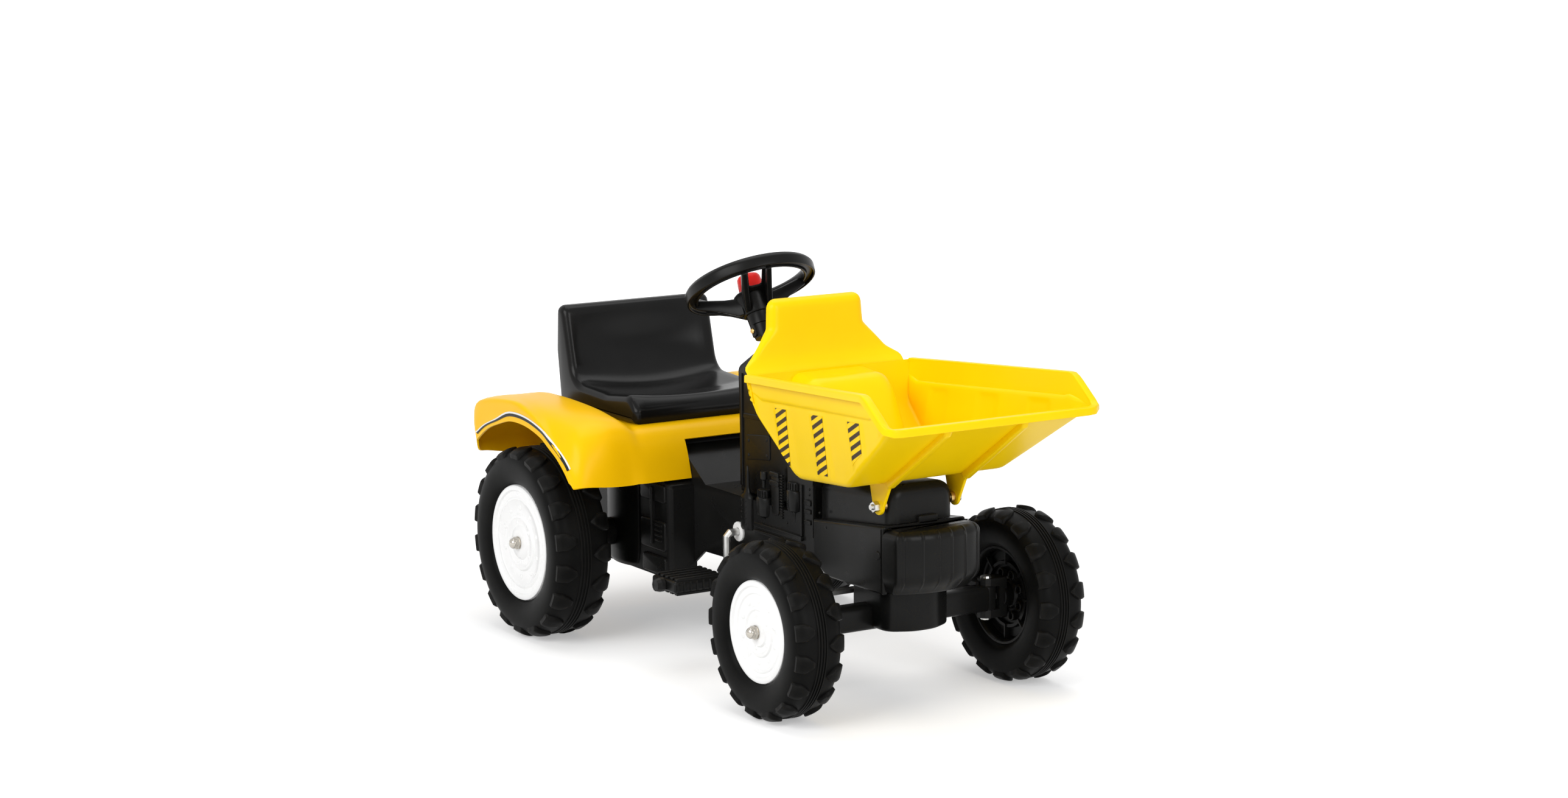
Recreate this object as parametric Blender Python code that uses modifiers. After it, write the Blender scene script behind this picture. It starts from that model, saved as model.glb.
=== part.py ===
"""Pedal ride-on with a front tipping bucket.

Metres. +X forward, +Y to the rider's left, +Z up. Every shape is drawn with x measured from the rear
axle; the empty called rear_axle_datum then carries the whole model to its place, with the origin on
the ground under the middle of its box.
"""

import math

import bmesh
import bpy
from mathutils import Matrix, Vector

# Overall layout
TAIL_REACH = 0.200
LIP_REACH = 0.872
WHEELBASE = 0.631
GAP = 0.0003
FOOT = 0.020

# Rear wheels
REAR_TYRE_R = 0.150
REAR_TYRE_W = 0.095
REAR_WHEEL_Y = 0.245
REAR_RIM_R = 0.091
REAR_DISC_FACE = 0.0416
REAR_LUGS = 18

# Front wheels
FRONT_TYRE_R = 0.129
FRONT_TYRE_W = 0.078
FRONT_WHEEL_Y = 0.207
FRONT_RIM_R = 0.0745
FRONT_DISC_FACE = 0.0327
FRONT_LUGS = 17

# Wheel details
LUG_H = 0.0055
DISC_T = 0.0085
AXLE_R = 0.006
AXLE_FIT = 0.0003
HUB_R = 0.021
NUT_R = 0.0105
NUT_H = 0.010
WHEEL_STEPS = 20

# Pedal drive
CRANK_X = 0.300
CRANK_Z = 0.195
CRANK_ARM = 0.065
CRANK_R = 0.006
CRANK_ARM_Y = 0.088
PEDAL_Y = 0.155
PEDAL_W = 0.088
PEDAL_L = 0.070
PEDAL_T = 0.026
PIN_END = 0.012
CHAIN_PITCH = 0.0127
CRANK_TEETH = 16
REAR_TEETH = 11
SPROCKET_T = 0.004
CHAIN_W = 0.008
CHAIN_HALF_H = 0.0042
CHAIN_RUNNING_GAP = 0.0008
BUSH_WALL = 0.004
BUSH_FLANGE = 0.005
BUSH_FLANGE_T = 0.003

# Chassis
WALL = 0.004
BODY_HALF_W = 0.110
SPINE_HALF_W = 0.065
BODY_REAR = -0.100
BODY_FRONT = 0.165
BODY_BOTTOM = 0.100
AXLE_BOSS_END = 0.190
AXLE_BOSS_R = 0.022
DECK_Z = 0.334
COWL_T = 0.003
SPINE_LOW_TOP = 0.250
SPINE_HIGH_TOP = 0.318
NOSE_X = 0.700
NOSE_BOTTOM = 0.180
NOSE_TOP = 0.272

# Engine cover and bumper
COVER_HALF_W = 0.055
COVER_REAR = 0.510
COVER_FRONT = 0.695
COVER_TOP_REAR = 0.312
COVER_TOP_FRONT = 0.327
BUMPER_HALF_W = 0.072
BUMPER_CORNER = 0.737
BUMPER_FRONT = 0.755
BUMPER_BOTTOM = 0.185
BUMPER_TOP = 0.270

# Dash column
COLUMN_HALF_W = 0.050
COLUMN_REAR = 0.268
COLUMN_REAR_TOP = 0.4425
COLUMN_SLOPE_END = 0.372
COLUMN_FRONT = 0.430

# Steering
STEER_X = 0.228
STEER_Z = 0.560
STEER_TILT = math.radians(30)
RING_R = 0.092
RING_SECTION = 0.0095
SLEEVE_R = 0.015
SLEEVE_L = 0.090
SHAFT_R = 0.006
SHAFT_L = 0.410
SHAFT_CRANK = 0.033
SHAFT_PIN_L = 0.048
SCREW_Z = -0.078
SCREW_R = 0.0019
BUTTON_R = 0.017
BUTTON_TRAVEL = 0.003

# Front axle
BEAM_Z = (0.112, 0.146)
KINGPIN_Y = 0.155
KINGPIN_R = 0.005
EYE_R = 0.015
KNUCKLE_EAR_T = 0.012
KNUCKLE_HOUSING = 0.013
KNUCKLE_PLAY = 0.0005
KNUCKLE_ARM = 0.050
ARM_OFFSET = 0.008
ARM_WALL = 0.004
ARM_SLOT_REAR = 0.0120
ARM_SLOT_FRONT = 0.0046
ARM_SLOT_IN = 0.0056
ARM_SLOT_OUT = 0.0070
TIE_Z = 0.0056
PIN_SIDE_PLAY = 0.0012
PIN_SLOT_REAR = 0.0098
PIN_SLOT_FRONT = 0.0190
BOSS_HALF_W = 0.055
BOSS_FRONT = 0.072
BOSS_REAR = -0.040
BOSS_BOTTOM = 0.100
AXLE_BOLT_R = 0.004

# Bucket: side profile points, each with the half width of the bucket there
RIM_BACK = (0.452, 0.460, 0.140)
BACK_LOW = (0.462, 0.400, 0.135)
FLOOR_BACK = (0.555, 0.322, 0.125)
FLOOR_FRONT = (0.7045, 0.335, 0.137)
LIP = (LIP_REACH - 0.004, 0.443, 0.1725)
RIM_FRONT = (0.817, 0.484, 0.173)
BUCKET_T = 0.0035
BUCKET_ROUNDING = 0.012
MOUTH_OVERSHOOT = 0.060
RIM_R = 0.0042
HEADBOARD_TOP_Z = 0.560
HEADBOARD_TOP_X = 0.414
HEADBOARD_HALF_W = 0.069
HUMP_HALF_W = 0.066
HUMP_TOP_Z = 0.448
HUMP_TOP_X = 0.500
PIVOT_X = 0.681
PIVOT_Z = 0.298
PIVOT_R = 0.004
EAR_Y = 0.062
EAR_T = 0.005
EAR_R = 0.0125

# Seat
SEAT_BOLT_OUT = 0.011
SEAT_BOLT_Y = BODY_HALF_W + SEAT_BOLT_OUT
SEAT_HALF_W = SEAT_BOLT_Y + 0.014
SEAT_FRONT = 0.112
SEAT_BACK = -0.152
SEAT_TOP = 0.495
SEAT_BOLT_X = -0.020

# Cowl
COWL_HALF_W = 0.270
APRON_CUT_HALF_W = SPINE_HALF_W + 0.003

# Worked out from the sizes above
KNUCKLE_TOP = BEAM_Z[1] + GAP + KNUCKLE_EAR_T
KNUCKLE_INNER = KINGPIN_Y + EYE_R + GAP + KNUCKLE_PLAY
KNUCKLE_FACE = KNUCKLE_INNER + KNUCKLE_HOUSING
TIE_BOTTOM = BEAM_Z[1] + GAP + 0.007 + GAP
TIE_TOP = TIE_BOTTOM + TIE_Z
NOSE_STEP_X = COVER_REAR - 0.003
REAR_HUB_BACK = AXLE_BOSS_END + BUSH_FLANGE_T + 2 * GAP - REAR_WHEEL_Y
FRONT_HUB_BACK = KNUCKLE_FACE + GAP - FRONT_WHEEL_Y

MODEL = bpy.data.collections.new("ride_on_tipper")
TOOLS = bpy.data.collections.new("cutters")

FINISHES = {
    "yellow_plastic": ((0.95, 0.62, 0.01), 0.32, 0.0),
    "black_plastic": ((0.012, 0.012, 0.013), 0.38, 0.0),
    "gloss_black": ((0.010, 0.010, 0.011), 0.18, 0.0),
    "tyre_black": ((0.016, 0.016, 0.017), 0.55, 0.0),
    "white_plastic": ((0.85, 0.85, 0.83), 0.30, 0.0),
    "red_plastic": ((0.75, 0.02, 0.015), 0.25, 0.0),
    "zinc_steel": ((0.62, 0.62, 0.60), 0.35, 1.0),
    "chrome": ((0.80, 0.80, 0.80), 0.10, 1.0),
    "brass": ((0.70, 0.48, 0.18), 0.30, 1.0),
}

PLANES = {
    "XZ": Matrix(((1, 0, 0, 0), (0, 0, -1, 0), (0, 1, 0, 0), (0, 0, 0, 1))),
    "YZ": Matrix(((0, 0, 1, 0), (1, 0, 0, 0), (0, 1, 0, 0), (0, 0, 0, 1))),
    "XY": Matrix.Identity(4),
}


# Scene and materials


def clear_scene():
    for obj in list(bpy.data.objects):
        bpy.data.objects.remove(obj, do_unlink=True)
    bpy.context.scene.collection.children.link(MODEL)
    bpy.context.scene.collection.children.link(TOOLS)
    for name, (colour, roughness, metallic) in FINISHES.items():
        material = bpy.data.materials.new(name)
        material.use_nodes = True
        shader = material.node_tree.nodes["Principled BSDF"]
        shader.inputs["Base Color"].default_value = (*colour, 1.0)
        shader.inputs["Roughness"].default_value = roughness
        shader.inputs["Metallic"].default_value = metallic


def empty(name, place, parent=None, tilt=0.0):
    marker = bpy.data.objects.new(name, None)
    MODEL.objects.link(marker)
    marker.parent = parent
    marker.location = place
    marker.rotation_euler = (0, tilt, 0)
    bpy.context.view_layer.update()
    return marker


def new_object(name, mesh):
    obj = bpy.data.objects.new(name, mesh)
    MODEL.objects.link(obj)
    return obj


def paint(obj, finish):
    obj.data.materials.clear()
    obj.data.materials.append(bpy.data.materials[finish])


def carried(obj, carrier, datum):
    """Parents a finished piece to its joint's empty and leaves it where it was drawn."""
    obj.parent = carrier
    obj.matrix_parent_inverse = carrier.matrix_world.inverted() @ datum.matrix_world


# Shapes


def from_bmesh(name, shape):
    mesh = bpy.data.meshes.new(name)
    shape.to_mesh(mesh)
    shape.free()
    return new_object(name, mesh)


def settle(obj):
    """Replaces an object's mesh with what its modifiers make of it."""
    bpy.context.view_layer.update()
    graph = bpy.context.evaluated_depsgraph_get()
    mesh = bpy.data.meshes.new_from_object(obj.evaluated_get(graph), depsgraph=graph)
    weld = bmesh.new()
    weld.from_mesh(mesh)
    bmesh.ops.remove_doubles(weld, verts=weld.verts, dist=1e-6)
    weld.to_mesh(mesh)
    weld.free()
    if obj.type == "MESH":
        obj.modifiers.clear()
        obj.data = mesh
        return obj
    solid = new_object("settling", mesh)
    mesh.transform(obj.matrix_world)
    name = obj.name
    bpy.data.objects.remove(obj, do_unlink=True)
    solid.name = name
    return solid


def round_edges(obj, width, segments=2, angle=35):
    bevel = obj.modifiers.new("round_edges", "BEVEL")
    bevel.width = width
    bevel.segments = segments
    bevel.limit_method = "ANGLE"
    bevel.angle_limit = math.radians(angle)
    return obj


def block(name, low, high, rounding=0.0, segments=2):
    shape = bmesh.new()
    bmesh.ops.create_cube(shape, size=1.0)
    low, high = Vector(low), Vector(high)
    bmesh.ops.scale(shape, vec=high - low, verts=shape.verts)
    bmesh.ops.translate(shape, vec=(high + low) / 2, verts=shape.verts)
    obj = from_bmesh(name, shape)
    if rounding:
        settle(round_edges(obj, rounding, segments))
    return obj


def slab(name, outlines, low, high, plane="XZ"):
    """Closed outlines in a plane, filled and drawn out from low to high along the plane's normal."""
    curve = bpy.data.curves.new(name, "CURVE")
    curve.dimensions = "2D"
    curve.fill_mode = "BOTH"
    curve.extrude = (high - low) / 2
    for outline in outlines:
        spline = curve.splines.new("POLY")
        spline.points.add(len(outline) - 1)
        for point, (u, v) in zip(spline.points, outline):
            point.co = (u, v, 0, 1)
        spline.use_cyclic_u = True
    obj = new_object(name, curve)
    middle = (low + high) / 2
    lift = -middle if plane == "XZ" else middle
    obj.matrix_world = PLANES[plane] @ Matrix.Translation((0, 0, lift))
    return settle(obj)


def rod(name, points, radius, resolution=3):
    """A round bar bent along straight stretches."""
    curve = bpy.data.curves.new(name, "CURVE")
    curve.dimensions = "3D"
    curve.bevel_depth = radius
    curve.bevel_resolution = resolution
    curve.use_fill_caps = True
    spline = curve.splines.new("POLY")
    spline.points.add(len(points) - 1)
    for point, place in zip(spline.points, points):
        point.co = (*place, 1)
    return settle(new_object(name, curve))


def drum(name, start, end, radius, sides=24, end_radius=None):
    """A cylinder, cone or prism between two points."""
    start, end = Vector(start), Vector(end)
    shape = bmesh.new()
    bmesh.ops.create_cone(
        shape,
        cap_ends=True,
        segments=sides,
        radius1=radius,
        radius2=radius if end_radius is None else end_radius,
        depth=(end - start).length,
    )
    turn = (end - start).to_track_quat("Z", "Y").to_matrix().to_4x4()
    shape.transform(Matrix.Translation((start + end) / 2) @ turn)
    return from_bmesh(name, shape)


def turned(name, profile, steps, closed=False):
    """A profile of (radius, height) points, from top to bottom of its outer side, turned about Z."""
    shape = bmesh.new()
    verts = [shape.verts.new((radius, 0, height)) for radius, height in profile]
    pairs = list(zip(verts, verts[1:]))
    if closed:
        pairs.append((verts[-1], verts[0]))
    for pair in pairs:
        shape.edges.new(pair)
    obj = from_bmesh(name, shape)
    screw = obj.modifiers.new("turn", "SCREW")
    screw.steps = steps
    screw.render_steps = steps
    screw.use_merge_vertices = True
    screw.merge_threshold = 0.00002
    return settle(obj)


def move(obj, matrix):
    obj.data.transform(matrix)
    obj.data.update()
    return obj


def sideways(obj, place, out=1):
    """Lays a piece that was turned about Z along Y, its top outward on the side given by out."""
    return move(obj, Matrix.Translation(place) @ Matrix.Rotation(-out * math.pi / 2, 4, "X"))


def mirrored(obj, name):
    """The same piece on the other side of the middle plane."""
    shape = bmesh.new()
    shape.from_mesh(obj.data)
    bmesh.ops.scale(shape, vec=(1, -1, 1), verts=shape.verts)
    bmesh.ops.reverse_faces(shape, faces=shape.faces)
    return from_bmesh(name, shape)


def boolean(target, tool, operation):
    change = target.modifiers.new(tool.name, "BOOLEAN")
    change.operation = operation
    change.solver = "EXACT"
    change.object = tool
    tool.hide_render = True
    tool.display_type = "WIRE"
    MODEL.objects.unlink(tool)
    TOOLS.objects.link(tool)


def cut(target, *tools):
    for tool in tools:
        boolean(target, tool, "DIFFERENCE")
    return target


def join(target, *tools):
    for tool in tools:
        boolean(target, tool, "UNION")
    return target


def flat_foot(obj, z):
    """Trims everything below a height, so that a rounded shell stands on its whole wall."""
    return cut(obj, block(obj.name + "_foot", (-1, -1, z - FOOT * 2), (1, 1, z)))


def shade(obj, angle=40):
    obj.data.shade_smooth()
    obj.data.set_sharp_from_angle(angle=math.radians(angle))


# Outlines


def arc(centre, radius, start, end, steps):
    """Points along an arc, with its angles in degrees."""
    points = []
    for step in range(steps + 1):
        angle = math.radians(start + (end - start) * step / steps)
        points.append((centre[0] + radius * math.cos(angle), centre[1] + radius * math.sin(angle)))
    return points


def rounded(corners, steps=3):
    """An outline from corners given as (u, v) or, where the corner is rounded, (u, v, radius)."""
    outline = []
    count = len(corners)
    for index, corner in enumerate(corners):
        here = Vector(corner[:2])
        if len(corner) == 2:
            outline.append((here.x, here.y))
            continue
        before = (Vector(corners[index - 1][:2]) - here).normalized()
        after = (Vector(corners[(index + 1) % count][:2]) - here).normalized()
        half = before.angle(after) / 2
        centre = here + (before + after).normalized() * (corner[2] / math.sin(half))
        reach = corner[2] / math.tan(half)
        first = here + before * reach - centre
        last = here + after * reach - centre
        start = math.atan2(first.y, first.x)
        sweep = (math.atan2(last.y, last.x) - start + math.pi) % (2 * math.pi) - math.pi
        for step in range(steps + 1):
            angle = start + sweep * step / steps
            outline.append(
                (centre.x + corner[2] * math.cos(angle), centre.y + corner[2] * math.sin(angle))
            )
    return outline


def between(a, b, share):
    return a + (b - a) * share


# Wheels


def tyre(name, radius, width, rim_r, lugs):
    """One pitch of tread, with a lug on each shoulder, is drawn as a strip and spun round the axle."""
    half = width / 2
    side = radius - rim_r
    right = [
        (-0.70 * half, rim_r, 0),
        (-1.00 * half, rim_r + 0.45 * side, 0),
        (-0.95 * half, radius - 0.18 * side, -1),
        (-0.55 * half, radius, -1),
        (-0.12 * half, radius - LUG_H * 0.5, 0),
    ]
    left = [(-across, reach, -row_side) for across, reach, row_side in reversed(right)]
    rows = right + left
    pitch = 2 * math.pi / lugs
    columns = [(0.0, -1), (0.36, -1), (0.50, 1), (0.86, 1), (1.0, -1)]
    shape = bmesh.new()
    grid = []
    for share, raised in columns:
        angle = share * pitch
        column = []
        for across, reach, row_side in rows:
            sunk = reach - (LUG_H if row_side == -raised else 0.0)
            column.append(shape.verts.new((sunk * math.cos(angle), sunk * math.sin(angle), across)))
        grid.append(column)
    for near, far in zip(grid, grid[1:]):
        for row in range(len(rows)):
            after = (row + 1) % len(rows)
            shape.faces.new((near[row], far[row], far[after], near[after]))
    bmesh.ops.spin(
        shape,
        geom=shape.verts[:] + shape.edges[:] + shape.faces[:],
        axis=(0, 0, 1),
        cent=(0, 0, 0),
        steps=lugs - 1,
        angle=pitch * (lugs - 1),
        use_duplicate=True,
    )
    bmesh.ops.remove_doubles(shape, verts=shape.verts, dist=1e-5)
    bmesh.ops.recalc_face_normals(shape, faces=shape.faces)
    return from_bmesh(name, shape)


def wheel_core(name, rim_r, width, disc_face, hub_back):
    """The black wheel behind the disc: a barrel, a web with a raised ring, and a long hub."""
    outer = rim_r - GAP
    back = -0.72 * width / 2
    front = disc_face - DISC_T - GAP
    bore = AXLE_R + AXLE_FIT
    web = -0.010
    profile = [
        (outer, front),
        (outer, back),
        (outer - 0.006, back),
        (outer - 0.008, web),
        (0.64 * rim_r, web),
        (0.58 * rim_r, web - 0.008),
        (HUB_R, web),
        (HUB_R - 0.002, hub_back),
        (bore, hub_back),
        (bore, front),
    ]
    return turned(name, profile, WHEEL_STEPS, closed=True)


def wheel_disc(name, rim_r, disc_face):
    """The white disc: rounded edge, a raised ring, a dished middle and a boss under the nut."""
    outer = rim_r - GAP
    back = disc_face - DISC_T
    bore = AXLE_R + AXLE_FIT
    profile = [
        (outer - 0.004, disc_face),
        (outer, disc_face - 0.003),
        (outer, back),
        (bore, back),
        (bore, disc_face - 0.001),
        (0.26 * rim_r, disc_face - 0.001),
        (0.36 * rim_r, disc_face - 0.004),
        (0.84 * rim_r, disc_face - 0.004),
    ]
    return turned(name, profile, WHEEL_STEPS, closed=True)


def cap_nut(name, seat):
    """A hexagon nut with a domed end, its seat at the height given."""
    nut = drum(name, (0, 0, seat), (0, 0, seat + NUT_H * 0.6), NUT_R, sides=6)
    reach = NUT_H * 0.6
    dome = [(0.0, seat + reach + NUT_R * 0.62), (NUT_R * 0.45, seat + reach + NUT_R * 0.50)]
    dome += [(NUT_R * 0.76, seat + reach), (NUT_R * 0.76, seat + reach * 0.5), (0.0, seat + reach * 0.5)]
    join(nut, turned(name + "_dome", dome, 10))
    settle(nut)
    bore = AXLE_R + AXLE_FIT
    cut(nut, drum(name + "_bore", (0, 0, seat - 0.01), (0, 0, seat + NUT_H * 0.75), bore, 12))
    return settle(nut)


def wheel_set(end, radius, width, wheel_y, rim_r, disc_face, hub_back, lugs, axle_x):
    """Both wheels of one axle, as {side: [pieces]}, drawn in place."""
    pieces = {}
    makers = (
        (end + "_tyre", lambda name: tyre(name, radius, width, rim_r, lugs), "tyre_black"),
        (end + "_wheel", lambda name: wheel_core(name, rim_r, width, disc_face, hub_back), "black_plastic"),
        (end + "_disc", lambda name: wheel_disc(name, rim_r, disc_face), "white_plastic"),
        (end + "_cap_nut", lambda name: cap_nut(name, disc_face - 0.001 + GAP), "chrome"),
    )
    pieces["left"] = []
    pieces["right"] = []
    for name, make, finish in makers:
        left = sideways(make(name + "_left"), (axle_x, wheel_y, radius), out=1)
        right = mirrored(left, name + "_right")
        for side, piece in (("left", left), ("right", right)):
            paint(piece, finish)
            shade(piece)
            pieces[side].append(piece)
    return pieces


# Pedal drive


def pitch_radius(teeth):
    return CHAIN_PITCH / (2 * math.sin(math.pi / teeth))


def sprocket(name, centre, teeth, bore):
    root = pitch_radius(teeth) - CHAIN_HALF_H - CHAIN_RUNNING_GAP - 0.0035
    tip = pitch_radius(teeth) - CHAIN_HALF_H - CHAIN_RUNNING_GAP
    outline = []
    for tooth in range(teeth):
        for share, reach in ((0.10, root), (0.35, tip), (0.65, tip), (0.90, root)):
            angle = 2 * math.pi * (tooth + share) / teeth
            outline.append((centre[0] + reach * math.cos(angle), centre[1] + reach * math.sin(angle)))
    hole = arc(centre, bore, 0, 330, 11)
    return slab(name, [outline, hole], -SPROCKET_T / 2, SPROCKET_T / 2)


def chain_line(offset, rear, front):
    """The chain's loop round both sprockets, moved outward by the offset."""
    rear_r = pitch_radius(REAR_TEETH) + offset
    front_r = pitch_radius(CRANK_TEETH) + offset
    span = Vector((front[0] - rear[0], front[1] - rear[1]))
    slope = math.degrees(math.atan2(span.y, span.x))
    lean = math.degrees(math.asin((front_r - rear_r) / span.length))
    points = arc(rear, rear_r, slope + 90 + lean, slope + 270 - lean, REAR_TEETH)
    points += arc(front, front_r, slope - 90 - lean, slope + 90 + lean, CRANK_TEETH)
    return points


def drive_chain(rear, front):
    outer = chain_line(CHAIN_HALF_H, rear, front)
    inner = chain_line(-CHAIN_HALF_H, rear, front)
    return slab("drive_chain", [outer, inner], -CHAIN_W / 2, CHAIN_W / 2)


def bush(name, shaft_r, wall_y, length, place):
    """A flanged bush in a side wall; its flange lies on the wall's outer face."""
    bore = shaft_r + GAP
    outer = shaft_r + BUSH_WALL
    profile = [
        (outer + BUSH_FLANGE, wall_y + GAP + BUSH_FLANGE_T),
        (outer + BUSH_FLANGE, wall_y + GAP),
        (outer, wall_y + GAP),
        (outer, wall_y - length),
        (bore, wall_y - length),
        (bore, wall_y + GAP + BUSH_FLANGE_T),
    ]
    piece = sideways(turned(name, profile, 14, closed=True), (place[0], 0, place[1]))
    paint(piece, "white_plastic")
    return piece


def crank():
    """One bent bar: the left arm stands up and the right arm hangs down."""
    arm = CRANK_ARM
    y = CRANK_ARM_Y
    end = PEDAL_Y + PEDAL_W / 2 + PIN_END
    r = CRANK_R
    half = [
        (0, 0, 0),
        (0, y - r, 0),
        (0, y, r),
        (0, y, arm - r),
        (0, y + r, arm),
        (0, end, arm),
    ]
    other = [(x, -across, -up) for x, across, up in reversed(half[1:])]
    points = [(CRANK_X + x, across, CRANK_Z + up) for x, across, up in other + half]
    return rod("crank", points, r)


def pedal(name, up):
    """A ribbed block with a bore for the crank's pin."""
    z = CRANK_Z + up * CRANK_ARM
    y = up * PEDAL_Y
    body = block(
        name,
        (CRANK_X - PEDAL_L / 2, y - PEDAL_W / 2, z - PEDAL_T / 2 + 0.003),
        (CRANK_X + PEDAL_L / 2, y + PEDAL_W / 2, z + PEDAL_T / 2 - 0.003),
        0.004,
        1,
    )
    for rib in range(5):
        x = CRANK_X + (rib - 2) * PEDAL_L * 0.2
        low = (x - 0.0035, y - PEDAL_W / 2 + 0.006, z - PEDAL_T / 2)
        high = (x + 0.0035, y + PEDAL_W / 2 - 0.006, z + PEDAL_T / 2)
        join(body, block(f"{name}_rib_{rib}", low, high))
    settle(body)
    bore = CRANK_R + GAP
    cut(body, drum(name + "_bore", (CRANK_X, y - PEDAL_W, z), (CRANK_X, y + PEDAL_W, z), bore, 16))
    return settle(body)


def pedal_cap(name, up):
    """A push-on cap at the pin's end, outside the pedal."""
    start = PEDAL_Y + PEDAL_W / 2 + 0.001
    profile = [
        (0.0, PIN_END + 0.002),
        (0.009, PIN_END + 0.001),
        (0.011, 0.006),
        (0.011, 0.0),
        (CRANK_R + GAP, 0.0),
        (CRANK_R + GAP, PIN_END - 0.001 + GAP),
        (0.0, PIN_END - 0.001 + GAP),
    ]
    cap = turned(name, profile, 12)
    place = (CRANK_X, up * start, CRANK_Z + up * CRANK_ARM)
    return sideways(cap, place, out=up)


# Chassis and fixed covers


def spine_outline(inset):
    """The chassis spine seen from the side, drawn in by the wall for the space inside it."""
    low = SPINE_LOW_TOP - inset
    step = NOSE_STEP_X
    rise = COLUMN_FRONT + 0.008
    return [
        (0.080, 0.112),
        (0.150, 0.112),
        (0.195, 0.145),
        (0.400, 0.150),
        (0.540, NOSE_BOTTOM),
        (NOSE_X, NOSE_BOTTOM),
        (NOSE_X, NOSE_TOP),
        (step, low),
        (step - inset, SPINE_HIGH_TOP - inset),
        (rise + inset, SPINE_HIGH_TOP - inset),
        (rise + inset, low),
        (0.200 - inset / 2, low),
        (0.118 - inset / 2, 0.304 - inset),
        (0.080, 0.304 - inset),
    ]


def chassis():
    top = DECK_Z - COWL_T - GAP
    box_outline = [
        (BODY_REAR, BODY_BOTTOM - FOOT),
        (BODY_FRONT, BODY_BOTTOM - FOOT),
        (BODY_FRONT, 0.248),
        (0.143, 0.252),
        (0.116, 0.318),
        (0.080, top),
        (BODY_REAR, top),
    ]
    body = slab("chassis", [rounded(box_outline)], -BODY_HALF_W, BODY_HALF_W)
    settle(round_edges(body, 0.008, 2, 60))
    settle(flat_foot(body, BODY_BOTTOM))
    join(body, slab("spine", [rounded(spine_outline(0.0))], -SPINE_HALF_W, SPINE_HALF_W))
    settle(body)

    room = [
        (BODY_REAR + WALL, 0.0),
        (BODY_FRONT - WALL, 0.0),
        (BODY_FRONT - WALL, 0.244),
        (0.139, 0.248),
        (0.111, 0.315),
        (0.078, top - WALL),
        (BODY_REAR + WALL, top - WALL),
    ]
    tunnel = spine_outline(WALL)
    tunnel = [(0.079, 0.0), (tunnel[8][0], 0.0)] + tunnel[8:13] + [(0.079, tunnel[13][1])]
    half = SPINE_HALF_W - WALL
    cut(body, slab("box_room", [room], -BODY_HALF_W + WALL, BODY_HALF_W - WALL))
    cut(body, slab("tunnel_room", [tunnel], -half, half))
    nose_low = (COVER_REAR + 0.010, -COVER_HALF_W + 2 * WALL, NOSE_BOTTOM + 0.020)
    nose_high = (NOSE_X - 0.012, COVER_HALF_W - 2 * WALL, 0.4)
    cut(body, block("nose_room", nose_low, nose_high))

    settle(body)
    for side in (-1, 1):
        start = (0, side * (BODY_HALF_W - WALL / 2), REAR_TYRE_R)
        end = (0, side * AXLE_BOSS_END, REAR_TYRE_R)
        join(body, drum(f"axle_boss_{side + 1}", start, end, AXLE_BOSS_R, 20))
    settle(body)

    axle_hole = AXLE_R + BUSH_WALL + GAP
    across = (-BODY_HALF_W * 2, BODY_HALF_W * 2)
    cut(body, drum("axle_hole", (0, across[0], REAR_TYRE_R), (0, across[1], REAR_TYRE_R), axle_hole))
    crank_hole = CRANK_R + BUSH_WALL + GAP
    start = (CRANK_X, across[0], CRANK_Z)
    end = (CRANK_X, across[1], CRANK_Z)
    cut(body, drum("crank_hole", start, end, crank_hole))

    shaft_x = steering_x(SPINE_LOW_TOP)
    slot_low = (shaft_x - 0.030, -0.022, SPINE_LOW_TOP - 0.02)
    slot_high = (shaft_x + 0.018, 0.022, SPINE_LOW_TOP + 0.02)
    cut(body, block("shaft_slot", slot_low, slot_high))
    bolt_top = NOSE_BOTTOM + 0.022
    bolt = drum("axle_bolt_hole", (WHEELBASE, 0, 0), (WHEELBASE, 0, bolt_top), AXLE_BOLT_R + GAP)
    cut(body, bolt)
    return settle(body)


def steering_x(z):
    """Where the steering shaft's centre line is at a height."""
    return STEER_X + (STEER_Z - z) * math.tan(STEER_TILT)


def engine_cover():
    outline = [
        (COVER_REAR, SPINE_LOW_TOP - FOOT),
        (COVER_FRONT, NOSE_TOP - FOOT),
        (COVER_FRONT, COVER_TOP_FRONT, 0.012),
        (COVER_REAR, COVER_TOP_REAR, 0.010),
    ]
    cover = slab("engine_cover", [rounded(outline)], -COVER_HALF_W, COVER_HALF_W)
    settle(round_edges(cover, 0.006, 2, 60))
    slope = (NOSE_TOP - SPINE_LOW_TOP) / (NOSE_X - NOSE_STEP_X)
    foot = [
        (NOSE_STEP_X - 0.1, SPINE_LOW_TOP + GAP - 0.1 * slope),
        (NOSE_X + 0.1, NOSE_TOP + GAP + 0.1 * slope),
        (NOSE_X + 0.1, 0.1),
        (NOSE_STEP_X - 0.1, 0.1),
    ]
    cut(cover, slab("cover_foot", [foot], -0.2, 0.2))
    inside = [
        (COVER_REAR + WALL, 0.2),
        (COVER_FRONT - WALL, 0.2),
        (COVER_FRONT - WALL, COVER_TOP_FRONT - WALL),
        (COVER_REAR + WALL, COVER_TOP_REAR - WALL),
    ]
    cut(cover, slab("cover_room", [inside], -COVER_HALF_W + WALL, COVER_HALF_W - WALL))
    side = COVER_HALF_W * 2
    hole = drum("pivot_hole", (PIVOT_X, -side, PIVOT_Z), (PIVOT_X, side, PIVOT_Z), PIVOT_R + GAP, 16)
    cut(cover, hole)
    return settle(cover)


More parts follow.
